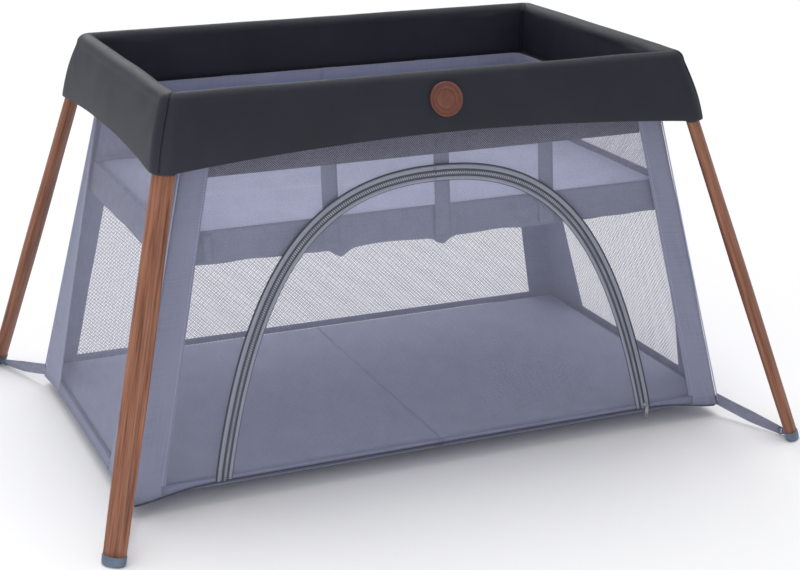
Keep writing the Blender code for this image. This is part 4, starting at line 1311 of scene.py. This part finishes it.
def bassinet_reach(z, out=0.0):
    """Half length and half width of the bassinet's outer face at a height."""
    rise = z - wall_low.z
    return wall_high.x - lean_x * rise + out, wall_high.y - lean_y * rise + out


def bassinet_line(z, side, out=0.0, corner=0.018):
    """The line round half the bassinet at a height, from the middle of the front to that of the back."""
    reach_x, reach_y = bassinet_reach(z, out)
    straight = [(reach_x - corner) * i / LONG_STEPS for i in range(LONG_STEPS + 1)]
    turns = [math.radians(a) for a in TURN_STEPS]
    plan = [(x, -reach_y) for x in straight]
    plan += [(reach_x - corner * (1 - math.sin(a)), -(reach_y - corner * (1 - math.cos(a)))) for a in turns]
    plan += [(reach_x, (reach_y - corner) * (2 * i / END_STEPS - 1)) for i in range(END_STEPS + 1)]
    plan += [(reach_x - corner * (1 - math.cos(a)), reach_y - corner * (1 - math.sin(a))) for a in turns]
    plan += [(x, reach_y) for x in reversed(straight)]
    return [Vector((side * x, y, z)) for x, y in plan]


def fold_drop(x):
    """The loops that hang below the band where straps pass under it."""
    return sum(0.013 * max(0.0, 1 - abs(x - place) / 0.021) for place in BAND_FOLDS)


for side_name, side in SIDES.items():
    half = f"{side_name}_half"
    band_top = base_high.z + BAND_RISE
    rows = []
    for step in range(9):
        up = step / 8
        z = base_low.z + (band_top - base_low.z) * up
        row = bassinet_line(z, side)
        for point in row:
            if point.y < 0:
                point.z -= fold_drop(point.x) * (1 - up) ** 2
            point.z += (1 - up) * ripple(point, 0.05, 0.003)
            outwards = Vector((point.x, point.y, 0.0)).normalized()
            point += outwards * ripple(point, 0.045, 0.0012) * math.sin(math.pi * up)
        rows.append(ordered(row, side > 0))
    band = grid(f"bassinet_band_{side_name}", rows)
    thicken(band, 0.0016, -1.0)
    declare(band, band_top - base_low.z + 0.004, 1.36, "hung", [f"bassinet_net_{side_name}"])
    gather(fit(band, slate_lavender, "bassinet_fabric", half, f"bassinet_wall_{side_name}"))

    heights = [band_top + (NET_TOP - band_top) * step / 4 for step in range(5)]
    lines = [bassinet_line(z, side, -0.0004) for z in heights]
    upper = grid(f"bassinet_net_{side_name}", [ordered(line[:BACK_STARTS + 1], side > 0) for line in lines])
    declare(upper, NET_TOP - band_top + 0.002, 0.90, "hung", [f"end_rail_{side_name}"])
    gather(fit(upper, fine_net, "bassinet_fabric", half))
    back = grid(f"bassinet_back_{side_name}", [ordered(line[BACK_STARTS:], side > 0) for line in lines])
    thicken(back, 0.0010, -1.0)
    declare(back, NET_TOP - band_top + 0.002, 0.45, "hung", [f"end_rail_{side_name}"])
    gather(fit(back, lavender, "bassinet_fabric", half))

    heights = (NET_TOP - 0.034, NET_TOP - 0.017, NET_TOP)
    rows = [ordered(bassinet_line(z, side, -0.0012), side > 0) for z in heights]
    binding = grid(f"bassinet_binding_{side_name}", rows)
    thicken(binding, 0.0010, -1.0)
    declare(binding, 0.035, 1.34, "hung", [f"end_rail_{side_name}"])
    gather(fit(binding, lavender, "bassinet_fabric", half))

    reach_x, reach_y = bassinet_reach(base_high.z, -0.0035)
    inner = 0.0
    xs = sorted((inner, side * (reach_x - 0.004)))
    mat_low = (xs[0], -reach_y + 0.004, base_low.z)
    mat_high = (xs[1], reach_y - 0.004, base_high.z - 0.002)
    mat = stuffed(f"bassinet_mat_{side_name}", mat_low, mat_high, inner, 0.006, 0.003, 4.0)
    gather(fit(mat, lavender_pale, "bassinet_fabric", half, f"bassinet_base_{side_name}"))

TAG_X = -0.374
rows = []
for step in range(7):
    z = base_low.z + 0.006 + 0.040 * step / 6
    reach_y = bassinet_reach(z, 0.0022)[1] + 0.0012 * math.sin(math.pi * step / 6)
    rows.append([Vector((TAG_X - 0.007 + 0.014 * i / 3, -reach_y, z)) for i in range(4)])
tag = grid("bassinet_tag", rows)
declare(tag, 0.014, 0.042, "hung", ["bassinet_band_left"])
thicken(tag, 0.0006, 0.0)
gather(fit(tag, lavender_dark, "bassinet_fabric", "left_half"))

for place in STRAP_PLACES:
    side_name = "left" if place < 0 else "right"
    for end_name, end in ENDS.items():
        number = STRAP_PLACES.index(place) + 1
        rows = []
        for step in range(9):
            z = base_low.z + 0.003 + (NET_TOP - base_low.z - 0.003) * step / 8
            reach_y = bassinet_reach(z, 0.0016)[1]
            xs = [place - STRAP_WIDE / 2 + STRAP_WIDE * i / 4 for i in range(5)]
            rows.append(ordered([Vector((x, end * reach_y, z)) for x in xs], end < 0))
        strap = grid(f"bassinet_strap_{end_name}_{number}", rows)
        declare(strap, STRAP_WIDE, NET_TOP - base_low.z, "stretched", [f"end_rail_{side_name}"])
        thicken(strap, 0.0012, 0.0)
        gather(fit(strap, slate_lavender, "bassinet_fabric", f"{side_name}_half"))


# ---------------------------------------------------------------- corner straps
# Ribbed polyester webbing on edge from each foot's tab to the body's bottom corner, where it is sewn
# in under the post. It keeps the body stretched, and goes slack when the leg folds.

def webbing():
    """Narrow woven webbing with ribs along it every 1.5 mm."""
    made, tree, shader = new_material("ribbed_webbing", Roughness=0.75, Sheen_Weight=0.12)
    place = add(tree, "UVMap", uv_map="metres").outputs["UV"]
    parts = add(tree, "SeparateXYZ", {0: place})
    phase = add(tree, "Math", {0: parts.outputs["X"], 1: math.tau / 0.0030}, operation="MULTIPLY")
    ribs = add(tree, "Math", {0: phase.outputs["Value"]}, operation="SINE")
    patch = add(tree, "TexNoise", {"Vector": place, "Scale": 90.0, "Detail": 3.0})
    dye = ramp(tree, patch.outputs["Fac"], (0.3, "#85889c"), (0.7, "#9699ad"))
    tree.links.new(dye, shader.inputs["Base Color"])
    bump(tree, shader, ribs.outputs["Value"], 0.0004, 0.7)
    return made


# The tab's sections as (distance from the foot's middle, half height, half width).
FOOT_TAB = (
    (0.006, 0.0050, 0.0045), (0.014, 0.0050, 0.0042), (0.0175, 0.0040, 0.0036), (0.0185, 0.0020, 0.0020),
)
ribbed = webbing()
for side_name, side in SIDES.items():
    for end_name, end in ENDS.items():
        tail = f"{end_name}_{side_name}"
        line = leg_line(side_name, end_name)
        foot = line(0.007)
        corner = Vector((side * body_x(body_low), end * body_y(body_low), body_low - 0.004))
        flat = Vector((corner.x - foot.x, corner.y - foot.y, 0.0)).normalized()
        start = foot + flat * 0.0205
        stop = corner - flat * -0.004 + Vector((0, 0, 0.005))
        across = flat.cross(Vector((0, 0, 1)))
        rows = []
        for step in range(17):
            along = step / 16
            place = start.lerp(stop, along)
            wide = 0.0125 + 0.0075 * min(1.0, along * 2.2)
            lean = math.radians(20) * (1 - along) ** 2
            way = (Vector((0, 0, 1)) * math.cos(lean) + across * math.sin(lean)) * wide / 2
            sag = Vector((0, 0, -0.0015 * math.sin(math.pi * along)))
            rows.append([place + sag + way * (i / 2 - 1) for i in range(5)])
        strap = grid(f"corner_strap_{tail}", rows)
        declare(strap, 0.021, (stop - start).length * 1.02, "stretched", [f"foot_cap_{tail}"])
        thicken(strap, 0.0016, 0.0)
        fit(strap, ribbed, "webbing", f"{tail}_leg", f"strap_{tail}")
        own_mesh(strap)

        ring = []
        for step in range(24):
            angle = math.tau * step / 24
            across_ring = flat * (0.0205 + 0.0050 * math.cos(angle))
            ring.append(foot + across_ring + Vector((0, 0, 0.0055 * math.sin(angle))))
        ring.append(ring[0])
        loop = cord_along(f"foot_loop_{tail}", ring, 0.0013)
        fit(loop, slate_nylon, "foot_plastic", f"{tail}_leg")
        tab_rows = []
        for place, tall, wide in FOOT_TAB:
            centre = foot + flat * place
            tab_rows.append([
                centre + across * wide * math.cos(a) + Vector((0, 0, tall * math.sin(a)))
                for a in [math.tau * k / 12 for k in range(12)]
            ])
        tab = grid(f"foot_tab_{tail}", tab_rows, wrap=True, caps=True)
        fit(tab, slate_nylon, "foot_plastic", f"{tail}_leg")


# ---------------------------------------------------------------- badge
# A disc of brown leather, pressed with a raised rim and a plain ring of stitch marks, sewn on the
# front of the cover over the hub.

def tooled_leather():
    """Vegetable-tanned leather: a pebbled grain, darker in its creases."""
    made, tree, shader = new_material("brown_leather", IOR=1.45, Coat_Weight=0.08)
    place = add(tree, "TexCoord").outputs["Object"]
    pebbles = add(tree, "TexVoronoi", {"Vector": place, "Scale": 650.0}, feature="SMOOTH_F1")
    cloud = add(tree, "TexNoise", {"Vector": place, "Scale": 90.0, "Detail": 4.0})
    both = add(tree, "Mix", {"Factor": 0.4, "A": cloud.outputs["Fac"], "B": pebbles.outputs["Distance"]})
    colour = ramp(tree, both.outputs["Result"], (0.25, "#5c3327"), (0.7, "#7c4a3b"))
    tree.links.new(colour, shader.inputs["Base Color"])
    rough = add(tree, "MapRange", {"Value": cloud.outputs["Fac"], "To Min": 0.45, "To Max": 0.65})
    tree.links.new(rough.outputs["Result"], shader.inputs["Roughness"])
    bump(tree, shader, pebbles.outputs["Distance"], 0.0002, 0.7)
    return made


badge_low, badge_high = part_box("leather_badge")
badge_centre = (badge_low + badge_high) / 2 - Vector((0.0, 0.0030, 0.0))
badge_radius = (badge_high.x - badge_low.x) / 2
badge_out = Vector((0.0, -1.0, flare_y)).normalized()
badge_turn = badge_out.to_track_quat("Z", "Y")
# The disc's section as (share of the radius, height): an edge, a raised rim, a groove and a crowned middle.
BADGE_SECTION = (
    (1.00, -0.0008), (1.00, 0.0030), (0.985, 0.0040), (0.95, 0.0043), (0.92, 0.0040), (0.89, 0.0028),
    (0.86, 0.0026), (0.78, 0.0028), (0.60, 0.0031), (0.585, 0.0024), (0.565, 0.0024), (0.55, 0.0032),
    (0.30, 0.0035), (0.02, 0.0036),
)


def badge_ring(share, rise, steps):
    """A ring of points on the badge, at a share of its radius and a height over its base."""
    ring = []
    for step in range(steps):
        angle = math.tau * step / 72
        spot = Vector((math.cos(angle), math.sin(angle), 0.0)) * badge_radius * share
        ring.append(badge_centre + badge_turn @ (spot + Vector((0, 0, rise))))
    return ring


rows = [badge_ring(share, rise, 72) for share, rise in BADGE_SECTION]
badge = grid("badge_disc", rows, wrap=True, caps=True)
leather = tooled_leather()
fit(badge, leather, "leather", "centre_hubs", "leather_badge")
STITCH_RING = badge_ring(0.82, 0.0029, 73)
sewn = stitches("badge_stitches", STITCH_RING, badge_out, pitch=0.0036, length=0.0022, thick=0.0005)
stitch_thread = woven("brown_thread", "#5b3527", "#6f4534", 0.0008)
fit(sewn, stitch_thread, "leather", "centre_hubs")
